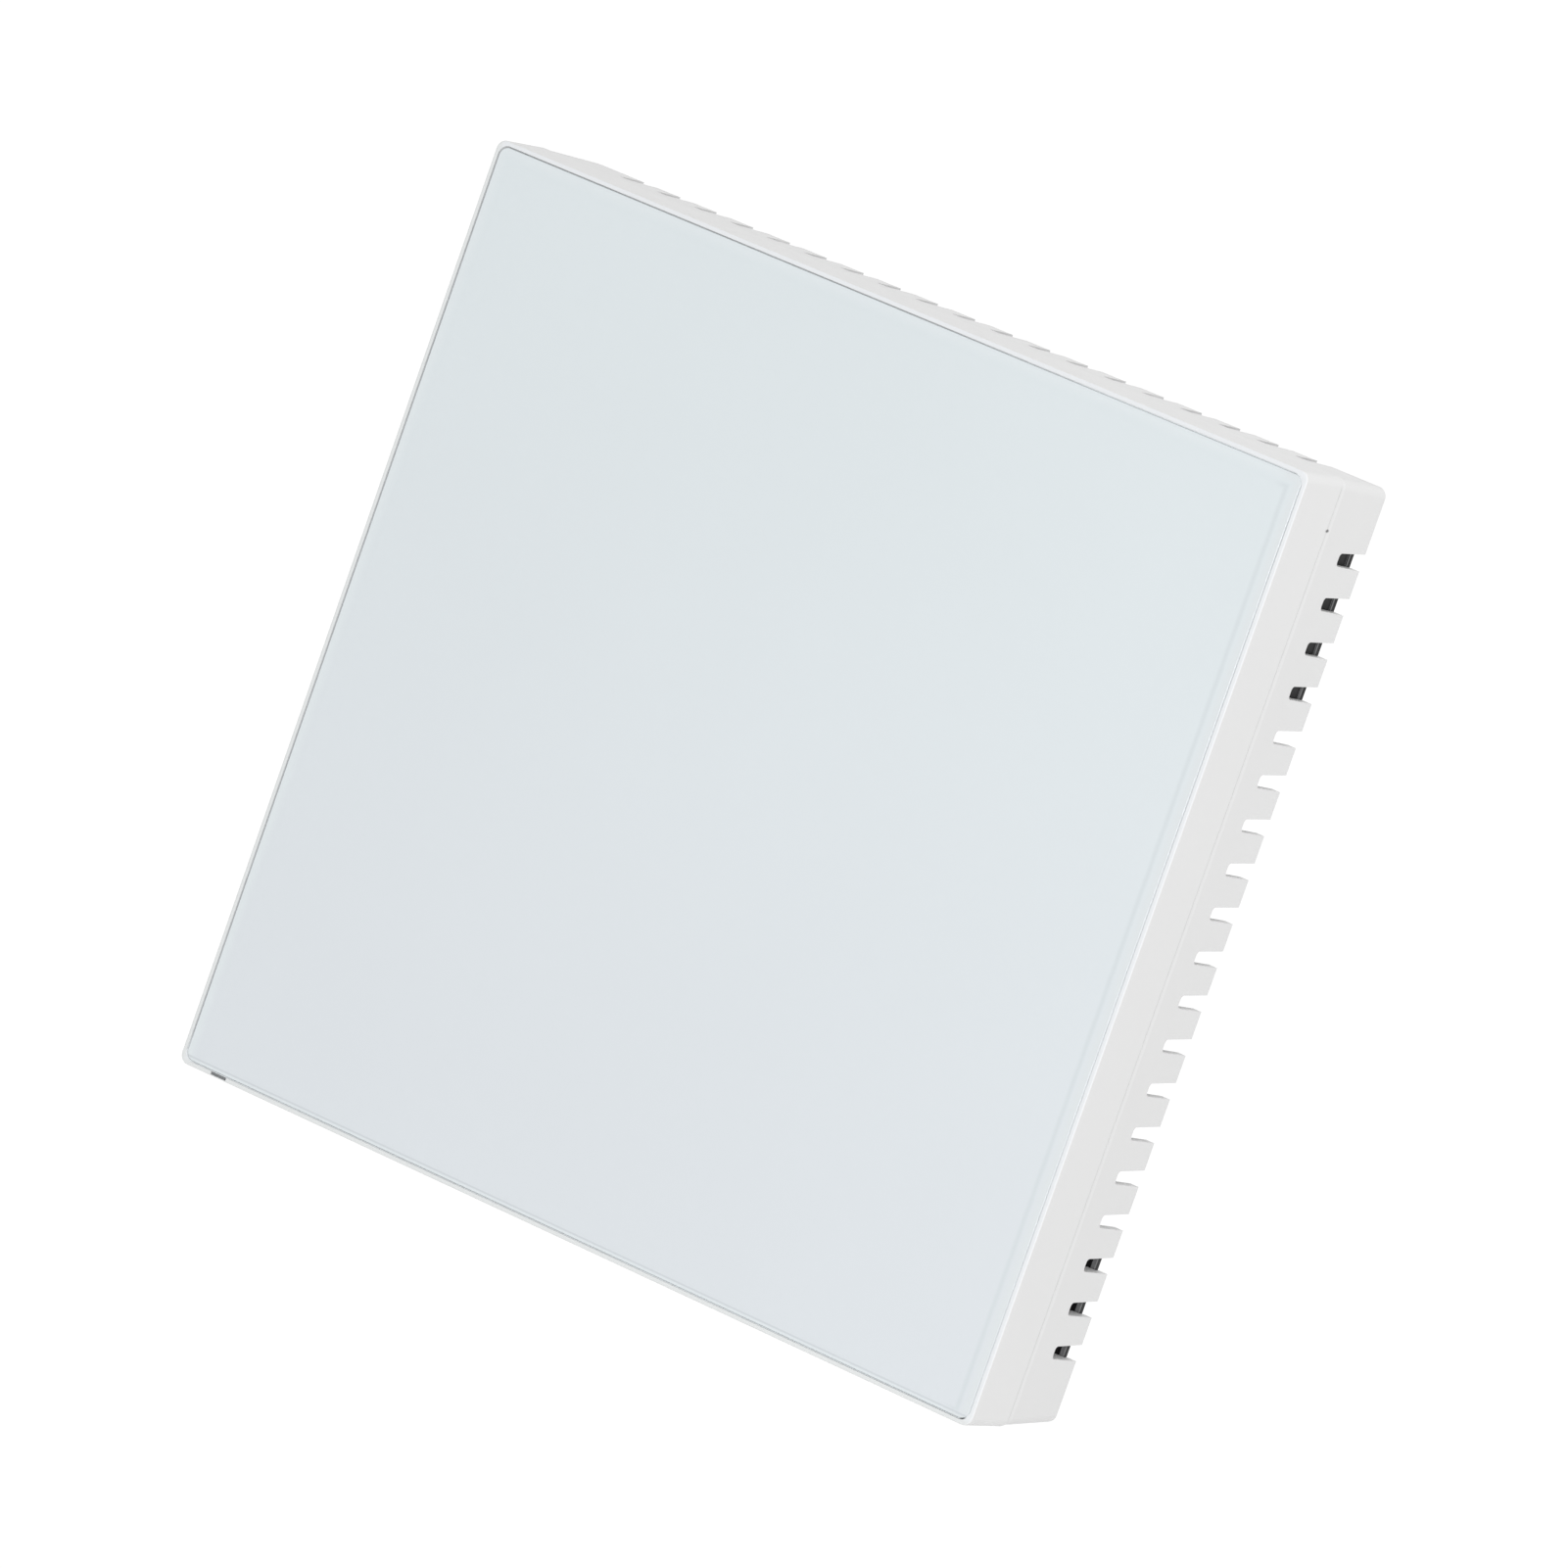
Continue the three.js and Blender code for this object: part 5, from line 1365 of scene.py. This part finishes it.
def makeSealMaterial():
    sizes = sealSet
    material, shader, place = newMaterial("sealant", 0.7)
    across, _, up = apart(place)
    waves = between(noise(place, 130, 3), 0.3, 0.7, -0.12, 0.12)
    # painted shade: dark where the gap lies in shade at the left and the top, lighter towards the right and
    # the bottom
    closed = between(across, *sizes["closing"], smooth=True)
    below = between(up, *sizes["below"], 0.0, 0.85)
    share = math2("ADD", plus(closed, below), waves, clamp=True)
    base = mixColors(share, sizes["openColor"], sizes["closedColor"])
    # painted shade: a dark spot in the gap at the bottom right corner, for the shade of a hollow there
    away = vectorMath("DISTANCE", vectorMath("MULTIPLY", place, (1.0, 0.0, 1.0)), sizes["gapCorner"])
    dressShader(shader, mixColors(between(away, *sizes["hollow"], 0.9, 0.0), base, sizes["hollowColor"]))
    return material


def makeSeal():
    sizes = sealSet
    depth, (outerCorner, innerCorner) = sizes["depth"], sizes["corner"]
    hole = slab(sizes["inner"], innerCorner, past(depth), steps=10)
    ring = slab(sizes["outer"], outerCorner, depth, steps=10)
    seal = carved(ring, joins=[brick(*sizes["slotFill"])], cuts=[hole])
    placed(seal, makeSealMaterial(), name="gapSeal", slot="white_plastic", width=0)


makeSeal()
print("gap sealed")


# Boards, with the parts that stand on them

boardSet = inMm({
    "half": 40.05,
    "corner": 1.0,
    "cornerCut": 33.2,
    "touch": (-11.6, -10.6),
    "main": (-8.2, -7.0),
    "stakeHole": 1.05,
    "postHole": 0.95,
    "terminalRoom": (35.1, -6.2),
})


def makeBlank(node, depths, holes, radius, rooms=()):
    half, cut = boardSet["half"], boardSet["cornerCut"]
    beyond = past(depths)
    cuts = []
    for sideX, sideZ in corners:
        cuts.append(brick((sideX * cut, sideX * 2 * half), beyond, (sideZ * cut, sideZ * 2 * half)))
    cuts += [peg(x, z, radius, beyond, 24) for x, z in holes]
    cuts += [brick(xEnds, beyond, zEnds) for xEnds, zEnds in rooms]
    board = carved(slab(half, boardSet["corner"], depths), cuts=cuts)
    placed(board, "circuitBoard", node, width=0.05)


def makeBoards():
    sizes = boardSet
    makeBlank("touch_board", sizes["touch"], frontShellSet["stakes"], sizes["stakeHole"])
    roomX, roomTop = sizes["terminalRoom"]
    room = (about(0.0, roomX), (-2 * sizes["half"], roomTop))
    makeBlank("main_board", sizes["main"], rearShellSet["posts"], sizes["postHole"], [room])


makeBoards()

headerSet = {
    "pins": 7,
    **inMm({
        "x": (-9, 9), "y": (-10.56, -8.24), "z": (31.75, 34.25), "pitch": 2.54, "nick": (0.25, 0.35),
        "pinHalf": 0.32, "pinEnds": (-11.9, -6.7), "pinSunk": 0.3,
    }),
}
socketSet = {
    "x": (35.4, 38.2), "y": (-6.96, -4.7), "z": (-33.0, -8.0), "hole": (36.8, 0.65, 0.75), "funnel": 0.35,
}
chipSet = {
    "legs": 8,
    **inMm({
        "middle": (-12, -10),
        "body": (3.45, -10.46, -9.16),
        "lean": 0.12,
        "dot": (1.0, 0.4, 0.1),
        "reach": 4.0,
        "legWidth": 0.32,
        "legPitch": 0.8,
        "legThickness": 0.12,
        "board": -10.56,
    }),
}


def makeHeader():
    sizes = headerSet
    x, (front, back), z = sizes["x"], sizes["y"], sizes["z"]
    pitch, pins = sizes["pitch"], sizes["pins"]
    middleZ = (z[0] + z[1]) / 2
    first = -pitch * (pins - 1) / 2
    nickHalf, nickDepth = sizes["nick"]
    nick = brick(about(first + pitch / 2, nickHalf), past(sizes["y"]), (z[0] - overcut, z[0] + nickDepth))
    nicks = repeated(nick, pins - 1, (pitch, 0.0, 0.0), rows=2, centre=(0.0, 0.0, middleZ))
    placed(carved(brick(x, (front, back), z), cuts=[nicks]), "darkResin", "board_header", width=0.1)
    half, sunk = sizes["pinHalf"], sizes["pinSunk"]
    tip, end = sizes["pinEnds"]
    spans = ((tip, front + sunk), (back - sunk, end))
    pieces = [brick(about(first, half), yEnds, about(middleZ, half)) for yEnds in spans]
    row = repeated(merged(*pieces), pins, (pitch, 0.0, 0.0))
    placed(row, "contactBrass", name="headerPins", slot="contact_brass", width=0.05)


def makeSocket(node, side):
    sizes = socketSet
    at, halfX, halfZ = sizes["hole"]
    y, funnel = sizes["y"], sizes["funnel"]
    cuts = []
    for z in terminalSet["places"]:
        cuts.append(sideBrick(side, about(at, halfX), past(y, 1, 1), about(z, halfZ)))
        rings = []
        for depth, w, h in ((y[1] - funnel, halfX, halfZ), (y[1] + 0.02, halfX + funnel, halfZ + funnel)):
            square = [(at + dx * w, z + dz * h) for dx, dz in squareSigns]
            rings.append([(side * x * mm, depth * mm, up * mm) for x, up in square])
        cuts.append(skinned(rings))
    strip = carved(sideBrick(side, sizes["x"], y, sizes["z"]), cuts=cuts)
    placed(strip, "darkResin", node, width=0.08)


def makeChip():
    sizes = chipSet
    (atX, atZ), (half, front, back), lean = sizes["middle"], sizes["body"], sizes["lean"]
    middle, board, thick, reach = (front + back) / 2, sizes["board"], sizes["legThickness"], sizes["reach"]
    levels = ((front, lean), (middle, 0.0), (back, lean))
    rings = [roundedRing(y, half - inset, 0.1 * mm, x=atX, z=atZ, steps=2) for y, inset in levels]
    dotAt, dotRadius, dotDepth = sizes["dot"]
    dot = peg(atX - half + dotAt, atZ + half - dotAt, dotRadius, (back - dotDepth, back + overcut), 20)
    placed(carved(skinned(rings), cuts=[dot]), "darkResin", "control_chip", width=0.05)

    inner = half - 0.05 * mm
    bend = inner + 0.22 * mm
    outline = [
        (inner, middle), (bend, middle), (bend + 0.05 * mm, board + thick), (reach, board + thick),
        (reach, board), (bend - 0.05 * mm, board), (bend - 0.1 * mm, middle - thick), (inner, middle - thick),
    ]
    start = -sizes["legPitch"] * (sizes["legs"] - 1) / 2
    legs = []
    for turn in (0, 1):
        rings = []
        for across in about(start, sizes["legWidth"] / 2):
            points = [(out, y, across) if turn else (across, y, out) for out, y in outline]
            rings.append([(atX + x, y, atZ + z) for x, y, z in points])
        step = (0.0, 0.0, sizes["legPitch"]) if turn else (sizes["legPitch"], 0.0, 0.0)
        legs.append(repeated(skinned(rings), sizes["legs"], step, rows=2, centre=(atX, 0.0, atZ)))
    placed(merged(*legs), "platedSteel", name="chipLegs", slot="plated_steel", width=0)


makeHeader()
makeSocket("socket_strip_left", -1)
makeSocket("socket_strip_right", 1)
makeChip()
print("boards made")


# Display: four digits of seven light bars, a shade with a window for each bar, and a film.

displaySet = {
    "digits": 4,
    **inMm({
        "half": (25, 10),
        "z": 8,
        "pitch": 11.5,
        "digit": (6, 12),
        "bar": 1.2,
        "inset": 0.2,
        "play": 0.06,
        "film": (-13.46, -13.26),
        "shade": (-13.22, -11.98),
        "carrier": (-11.94, -11.64),
        "ledFront": -12.44,
    }),
}


def digitBars(yEnds, inset):
    sizes = displaySet
    width, height = sizes["digit"]
    bar, z = sizes["bar"], sizes["z"]
    x = -sizes["pitch"] * (sizes["digits"] - 1) / 2
    halfLevel, halfUpright = (width - 2 * bar) / 2 - inset, (height / 2 - bar - bar / 2) / 2 - inset
    half = bar / 2 - inset
    levels = (-(height - bar) / 2, 0.0, (height - bar) / 2)
    bars = [brick(about(x, halfLevel), yEnds, about(z + up, half)) for up in levels]
    bars += [
        brick(about(x + across, half), yEnds, about(z + up, halfUpright))
        for across in (-(width - bar) / 2, (width - bar) / 2) for up in (-height / 4, height / 4)
    ]
    return repeated(merged(*bars), sizes["digits"], (sizes["pitch"], 0.0, 0.0))


def makeDisplay():
    sizes = displaySet
    (halfX, halfZ), z, shade, carrier = (sizes[key] for key in ("half", "z", "shade", "carrier"))

    def layer(corner, depths):
        return slab(halfX, corner * mm, depths, halfZ, 0.0, z)

    placed(layer(0.8, sizes["film"]), "diffuser", "display_film", width=0.04)
    shading = carved(layer(0.4, shade), cuts=[digitBars(past(shade), sizes["play"])])
    placed(shading, "diffuser", "display_shade", width=0.04, steps=1)
    bars = digitBars((sizes["ledFront"], sum(carrier) / 2), sizes["inset"])
    leds = carved(layer(0.4, carrier), joins=[bars])
    placed(leds, makeLedFace("ledFace", carrier[0]), "display_leds", width=0.06)


makeDisplay()
print("display made")


# Touch springs, by Geometry Nodes: a wire wound on a cone.

springSet = {
    "Wide Radius": 3.0 * mm,
    "Narrow Radius": 2.1 * mm,
    "Spring Height": 1.4 * mm,
    "Wire Radius": 0.19 * mm,
    "Working Turns": 2.0,
    "Place": (0.0, 0.0, 0.0),
}
springDepth = -11.83 * mm


def springTree():
    given = newTree("conicalSpring", springSet)
    coil = result("GeometryNodeCurveSpiral", {
        "Resolution": 40, "Rotations": given["Working Turns"], "Start Radius": given["Wide Radius"],
        "End Radius": given["Narrow Radius"], "Height": given["Spring Height"],
    })
    wire = wireAlong(coil, 10, given["Wire Radius"])
    laid = moved(wire, Translation=given["Place"], Rotation=(math.pi / 2, 0.0, 0.0))
    return closeTree(laid)


conicalSpring = springTree()
for number, (x, z) in enumerate(frontShellSet["keys"], 1):
    spring = runTree(pieceOf(), conicalSpring, {**springSet, "Place": (x, springDepth, z)})
    placed(spring, "contactBrass", "touch_spring_" + str(number), width=0)
print("touch springs made")


# Temperature sensor: a resin bead on two wires

sensorSet = inMm({
    "place": (-24, -37.4),
    "bead": [
        (-9.4, 0.25), (-9.3, 0.42), (-9.1, 0.62), (-8.8, 0.82), (-8.35, 0.9), (-7.9, 0.82), (-7.6, 0.6),
        (-7.45, 0.3), (-7.41, 0.08),
    ],
    "wires": (0.6, 0.2, (-10.56, -8.4)),
})


def makeSensor():
    (x, z), (spacing, radius, ends) = sensorSet["place"], sensorSet["wires"]
    wires = [peg(x + side * spacing, z, radius, ends, 12) for side in sides]
    sensor = carved(turned(x, z, sensorSet["bead"], 28), joins=wires)
    placed(sensor, "darkResin", "temperature_sensor", width=0)


makeSensor()


# Windings, by Geometry Nodes: loops of wire side by side on a rounded former.

windingSets = {
    "transformerWinding": {
        "Half Width": 3.4 * mm, "Half Depth": 2.15 * mm, "Corner": 1.0 * mm, "Wire Radius": 0.12 * mm,
        "Turns": 25, "Place": inMm((-6.5, -4.56, 27.5)), "Turn": (0.0, 0.0, 0.0),
    },
    "relayWinding": {
        "Half Width": 1.5 * mm, "Half Depth": 1.5 * mm, "Corner": 1.49 * mm, "Wire Radius": 0.08 * mm,
        "Turns": 54, "Place": inMm((10.7, -4.49, 24.9)), "Turn": (0.0, math.pi / 2, 0.0),
    },
}


def windingTree():
    # drawn about Z: each loop lies in the XY plane
    given = newTree("wireLoops", windingSets["transformerWinding"])
    wire, turns = given["Wire Radius"], given["Turns"]
    former = result("GeometryNodeCurvePrimitiveQuadrilateral", {
        "Width": times(given["Half Width"], 2.0), "Height": times(given["Half Depth"], 2.0),
    }, mode="RECTANGLE")
    loop = wireAlong(filleted(former, given["Corner"], 8, True), 8, wire, closed=False)
    pitch = times(wire, 2.1)
    start = times(times(minus(turns, 1.0), pitch), -0.5)
    line = lineOf(turns, vector(0.0, 0.0, pitch), vector(0.0, 0.0, start))
    laid = moved(instanced(line, loop), Translation=given["Place"], Rotation=given["Turn"])
    return closeTree(laid)


wireLoops = windingTree()


def makeWinding(name, node):
    made = runTree(pieceOf(), wireLoops, windingSets[name])
    placed(made, "copperWire", node, name, width=0)


transformerSet = inMm({
    "middle": (-6.5, -4.56, 27.5),
    "core": (5.5, 1.2, 6.0),
    "leg": 1.6,
    "window": 3.8,
    "split": (0.12, 0.08),
    "flange": (3.65, 2.38, (3.2, 3.52)),
    "tube": (1.5, 1.9, 3.4),
    "bore": (1.0, 1.4, 3.9),
})


def makeTransformer():
    sizes = transformerSet
    x, y, z = sizes["middle"]
    half, thick, tall = sizes["core"]
    leg, (splitDepth, splitHalf) = sizes["leg"], sizes["split"]
    deep, window, split = about(y, 2 * thick), about(z, sizes["window"]), about(z, splitHalf)
    cuts = [brick((x + side * leg / 2, x + side * (half - leg)), deep, window) for side in sides]
    splitEnds = past((half, half), splitDepth)
    cuts += [brick([x + side * end for end in splitEnds], deep, split) for side in sides]
    core = carved(block(x, y, z, half, thick, tall), cuts=cuts)
    placed(core, "ferrite", "transformer_core", width=0.15)
    flangeX, flangeY, flangeEnds = sizes["flange"]
    spans = [sorted(z + side * end for end in flangeEnds) for side in sides]
    flanges = [brick(about(x, flangeX), about(y, flangeY), zEnds) for zEnds in spans]
    bobbin = carved(block(x, y, z, *sizes["tube"]), joins=flanges, cuts=[block(x, y, z, *sizes["bore"])])
    placed(bobbin, "darkResin", name="transformerBobbin", slot="dark_resin", width=0.08)


makeTransformer()
makeWinding("transformerWinding", "transformer_winding")
print("transformer made")


# Power parts that lie in the bay. A profile lists places along the axis with the radius at each.

canSet = inMm({"x": (-28, -17), "y": -4.56, "radius": 2.4, "places": (26.3, 32.7), "vent": (0.12, 1.5, 0.08)})


def makeBulkCapacitor(number, z):
    (start, end), y, radius = canSet["x"], canSet["y"], canSet["radius"]
    profile = [
        (start, radius - 0.45 * mm), (start + 0.12 * mm, radius - 0.15 * mm), (start + 0.4 * mm, radius),
        (end - 1.9 * mm, radius), (end - 1.6 * mm, radius - 0.28 * mm), (end - 1.3 * mm, radius - 0.28 * mm),
        (end - 1.0 * mm, radius), (end - 0.3 * mm, radius), (end - 0.06 * mm, radius - 0.18 * mm),
        (end, radius - 0.5 * mm),
    ]
    can = turnedAlongX(y, z, profile, 40)
    depth, long, thin = canSet["vent"]
    ventX = (start - overcut, start + depth)
    carved(can, cuts=[brick(ventX, about(y, a), about(z, b)) for a, b in ((long, thin), (thin, long))])
    material = makeSleeve("capacitorSleeve" + str(number), end, (y, z))
    placed(can, material, "bulk_capacitor_" + str(number), width=0)


filmCapacitorSet = inMm({
    "body": ((-28, -18), (-6.96, -1.96), (14.75, 19.25)),
    "feet": (-24.6, -21.4),
    "foot": (0.6, (-7.5, -6.7), (13, 21)),
})


def makeFilmCapacitor():
    footHalf, *footEnds = filmCapacitorSet["foot"]
    feet = [brick(about(x, footHalf), *footEnds) for x in filmCapacitorSet["feet"]]
    body = carved(brick(*filmCapacitorSet["body"]), cuts=feet)
    placed(body, "yellowPlastic", "film_capacitor", width=0.25, steps=3)


varistorSet = inMm({"place": (-8, 13), "radius": 3.6, "ends": (-6.96, -3.96), "roll": 0.9, "rollEnd": 1.6})


def makeVaristor():
    sizes = varistorSet
    (x, z), radius, (low, high), rollEnd = sizes["place"], sizes["radius"], sizes["ends"], sizes["rollEnd"]
    profile = [(low, radius - rollEnd)]
    for step in range(1, 8):
        angle = math.pi * (step / 8 - 0.5)
        y = (low + high) / 2 + (high - low) / 2 * math.sin(angle)
        profile.append((y, radius - sizes["roll"] * (1 - math.cos(angle))))
    profile.append((high, radius - rollEnd))
    disc = turned(x, z, profile, 44)
    placed(disc, "blueCoating", "varistor", "varistorDisc", width=0.12, angle=50)


fuseSet = inMm({
    "axis": (-5.46, 12.5),
    "x": (-25.5, -16.5),
    "cap": 1.8,
    "capRadii": (1.05, 1.35, 1.5, 1.5, 1.42),
    "wire": (0.9, 0.09),
    "tube": (0.05, 1.3),
})


def makeFuse():
    (y, z), (left, right), cap = fuseSet["axis"], fuseSet["x"], fuseSet["cap"]
    steps = (0.0, 0.1 * mm, 0.35 * mm, cap - 0.1 * mm, cap)
    caps = []
    for end, side in ((left, 1), (right, -1)):
        profile = [(end + side * step, radius) for step, radius in zip(steps, fuseSet["capRadii"])]
        caps.append(turnedAlongX(y, z, profile, 36))
    inset, radius = fuseSet["wire"]
    wire = turnedAlongX(y, z, [(left + inset, radius), (right - inset, radius)], 8)
    placed(merged(*caps, wire), "fuseMetal", "fuse", "fuseCaps", width=0)
    sunk, radius = fuseSet["tube"]
    tube = turnedAlongX(y, z, [(left + cap - sunk, radius), (right - cap + sunk, radius)], 36)
    placed(tube, "fuseGlass", name="fuseTube", slot="panel_glass", width=0)


bridgeSet = inMm({"body": ((3, 9), (-6.96, -5.36), (9.5, 14.5)), "nick": 0.5})


def makeBridge():
    (x, y, z), nick = bridgeSet["body"], bridgeSet["nick"]
    corner = brick((x[0] - overcut, x[0] + nick), (y[1] - nick, y[1] + overcut), past(z))
    placed(carved(brick(x, y, z), cuts=[corner]), "darkResin", "rectifier_bridge", width=0.12)


for number, z in enumerate(canSet["places"], 1):
    makeBulkCapacitor(number, z)
makeFilmCapacitor()
makeVaristor()
makeFuse()
makeBridge()
print("power parts made")


# Relay: base, clear cover, coil on a bobbin, and the iron and contact parts

relaySet = {
    "packed": {
        "relay_yoke": ("platedSteel", 0.05),
        "relay_armature": ("platedSteel", 0.04),
        "relay_contact": ("contactBrass", 0.04),
    },
    **inMm({
        "x": (3.5, 22.5),
        "z": (19.5, 34.5),
        "base": (-6.96, -6.46),
        "cover": (-6.42, -2.06),
        "wall": 0.5,
        "corner": 0.5,
        "roomCorner": 0.3,
        "coilX": (5.7, 15.7),
        "coilAt": (-4.49, 24.9),
        "tube": 1.4,
        "flange": (1.86, 0.4),
        "bore": 0.75,
    }),
}


def makeRelay():
    sizes = relaySet
    x, z, cover, wall, corner = (sizes[key] for key in ("x", "z", "cover", "wall", "corner"))
    middleX, middleZ = sum(x) / 2, sum(z) / 2
    halfX, halfZ = (x[1] - x[0]) / 2, (z[1] - z[0]) / 2
    foot = slab(halfX, corner, sizes["base"], halfZ, middleX, middleZ)
    placed(foot, "relayPlastic", "relay_base", width=0.08)
    inside = (cover[0] - overcut, cover[1] - wall)
    room = slab(halfX - wall, sizes["roomCorner"], inside, halfZ - wall, middleX, middleZ)
    lid = carved(slab(halfX, corner, cover, halfZ, middleX, middleZ), cuts=[room])
    placed(lid, "relayWindow", "relay_cover", width=0.15)
    (left, right), (y, up), (flange, thick) = sizes["coilX"], sizes["coilAt"], sizes["flange"]

    def rod(ends, radius, count=32):
        return turnedAlongX(y, up, [(end, radius) for end in ends], count)

    flanges = [rod((at, at + thick), flange, 40) for at in (left, right - thick)]
    bore = rod(past(sizes["coilX"]), sizes["bore"], 24)
    bobbin = carved(rod((left, right), sizes["tube"]), joins=flanges, cuts=[bore])
    placed(bobbin, "darkResin", name="relayBobbin", slot="dark_resin", width=0.05)
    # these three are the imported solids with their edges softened
    for node, (material, width) in sizes["packed"].items():
        placed(linked(frame["nodes"][node].data.copy()), material, node, width=width)


makeRelay()
makeWinding("relayWinding", "relay_coil")
print("relay made")


# Solder joints and small board parts, by Geometry Nodes: one copy at each listed place, in millimetres.

jointSet = {"Foot Radius": 0.85 * mm, "Wire Radius": 0.3 * mm, "Joint Height": 0.75 * mm}

jointPlaces = (
    [(-15.9, up) for up in (25.3, 27.3, 31.7, 33.7)]
    + [(x, up) for x in (-10.5, -7.8, -5.2, -2.5) for up in (22.2, 32.8)]
    + [(-26.8, 17), (-19.2, 17), (-11, 13), (-5, 13), (-26.6, 12.5), (-15.4, 12.5)]
    + [(4, 10.5), (4, 13.5), (8, 10.5), (8, 13.5), (5, 21), (5, 29), (20.5, 21), (20.5, 27), (20.5, 33)]
    + [(side * 36.8, z) for side in sides for z in terminalSet["places"]]
)


def jointTree():
    given = newTree("solderJoints", jointSet)
    cone = result("GeometryNodeMeshCone", {
        "Vertices": 16, "Side Segments": 2, "Radius Top": given["Wire Radius"],
        "Radius Bottom": given["Foot Radius"], "Depth": given["Joint Height"],
    })
    cap = moved(cone, Rotation=(math.pi / 2, 0.0, 0.0))
    return closeTree(instanced(given["Geometry"], cap))


def makeJoints():
    front = boardSet["main"][0]
    points = pieceOf([(x * mm, front, z * mm) for x, z in jointPlaces])
    joints = runTree(points, jointTree(), jointSet)
    placed(joints, "platedSteel", name="solderJoints", slot="plated_steel", width=0)


smallPartSet = {"Part Size": inMm((1.6, 0.55, 0.8)), "Cap Length": 0.3 * mm, "Seed": 4}

smallPartPlaces = (
    [(x, z) for x in (-21, -18.5, -5.5, -3, -0.5) for z in (-14, -11, -8, -5)]
    + [(x, z) for x in (4, 8, 12, 16, 20) for z in (-20, -16)]
    + [(x, 27) for x in (-24, -20, -16, 16, 20, 24)]
)


def smallPartTree(capsOnly):
    given = newTree("endCaps" if capsOnly else "chipBodies", smallPartSet)
    width, height, depth = apart(given["Part Size"])
    capLength = given["Cap Length"]
    if capsOnly:
        size = vector(capLength, times(height, 1.04), times(depth, 1.04))
        cap = result("GeometryNodeMeshCube", {"Size": size})
        out = times(minus(width, capLength), 0.5)
        part = joined(*[moved(cap, Translation=vector(times(out, side))) for side in (-1.0, 1.0)])
    else:
        inner = minus(width, times(capLength, 2.0))
        part = result("GeometryNodeMeshCube", {"Size": vector(inner, height, depth)})
    pick = addNode("FunctionNodeRandomValue", {4: 0, 5: 1, "Seed": given["Seed"]}, data_type="INT")
    turn = vector(0.0, times(pick.outputs[2], math.pi / 2), 0.0)
    return closeTree(instanced(given["Geometry"], part, Rotation=turn))


def makeSmallParts():
    back = boardSet["touch"][1] + smallPartSet["Part Size"][1] / 2
    points = [(x * mm, back, z * mm) for x, z in smallPartPlaces]
    for name, capsOnly, material, slot in (
        ("chipPartBodies", False, "darkResin", "dark_resin"),
        ("chipPartCaps", True, "platedSteel", "plated_steel"),
    ):
        made = runTree(pieceOf(points), smallPartTree(capsOnly), smallPartSet)
        placed(made, material, name=name, slot=slot, width=0.03, steps=1)


makeJoints()
makeSmallParts()
print("solder joints and small parts made")


# Floor, lamps and sky

stageSet = {"floorDrop": 0.3, "floorSize": 30.0, "sky": 0.705, "floorTone": 0.85, "floorLift": 0.45}

lampSet = {
    "keyLamp": {"place": (0.50, -0.62, 0.06), "size": 0.45, "power": 2.4},
    "topLamp": {"place": (0.13, 0.05, 0.26), "size": 0.12, "power": 0.12},
}


def seenDirectly():
    path = addNode("ShaderNodeLightPath").outputs
    seen = math2("MAXIMUM", path["Is Camera Ray"], path["Is Glossy Ray"])
    return math2("MAXIMUM", seen, path["Is Transmission Ray"])


def makeSky():
    world = bpy.data.worlds.new("studioSky")
    world.use_nodes = True
    begin(world.node_tree).nodes.clear()
    strength = between(seenDirectly(), 0.0, 1.0, stageSet["sky"], 1.0)
    sky = result("ShaderNodeBackground", {"Color": (1, 1, 1, 1), "Strength": strength})
    addNode("ShaderNodeOutputWorld", {0: sky})
    bpy.context.scene.world = world


def makeFloor():
    half, tone = stageSet["floorSize"] / 2, stageSet["floorTone"]
    height = cadBox[0].z - stageSet["floorDrop"]
    points = [(x * half, y * half, height) for x, y in squareSigns]
    floor = pieceOf(points, [(0, 1, 2, 3)], "studioFloor")
    material = bpy.data.materials.new("studioFloor")
    material.use_nodes = True
    begin(material.node_tree).nodes.clear()
    paint = result("ShaderNodeBsdfDiffuse", {"Color": (tone, tone, tone, 1)})
    lift = times(seenDirectly(), stageSet["floorLift"])
    glow = result("ShaderNodeEmission", {"Color": (1, 1, 1, 1), "Strength": lift})
    both = result("ShaderNodeAddShader", {0: paint, 1: glow})
    clear = result("ShaderNodeBsdfTransparent")  # seen from below, it hides nothing
    under = addNode("ShaderNodeNewGeometry").outputs["Backfacing"]
    addNode("ShaderNodeOutputMaterial", {0: result("ShaderNodeMixShader", {0: under, 1: both, 2: clear})})
    floor.data.materials.append(material)


def makeLamps():
    for name, lamp in lampSet.items():
        data = bpy.data.lights.new(name, "AREA")
        data.shape, data.size, data.energy = "DISK", lamp["size"], lamp["power"]
        made = bpy.data.objects.new(name, data)
        made.location = lamp["place"]
        made.rotation_mode = "QUATERNION"
        made.rotation_quaternion = (-Vector(lamp["place"])).to_track_quat("-Z", "Y")
        bpy.context.scene.collection.objects.link(made)


makeSky()
makeFloor()
makeLamps()
print("stage lit")

view = bpy.context.scene.view_settings
view.view_transform = "Standard"
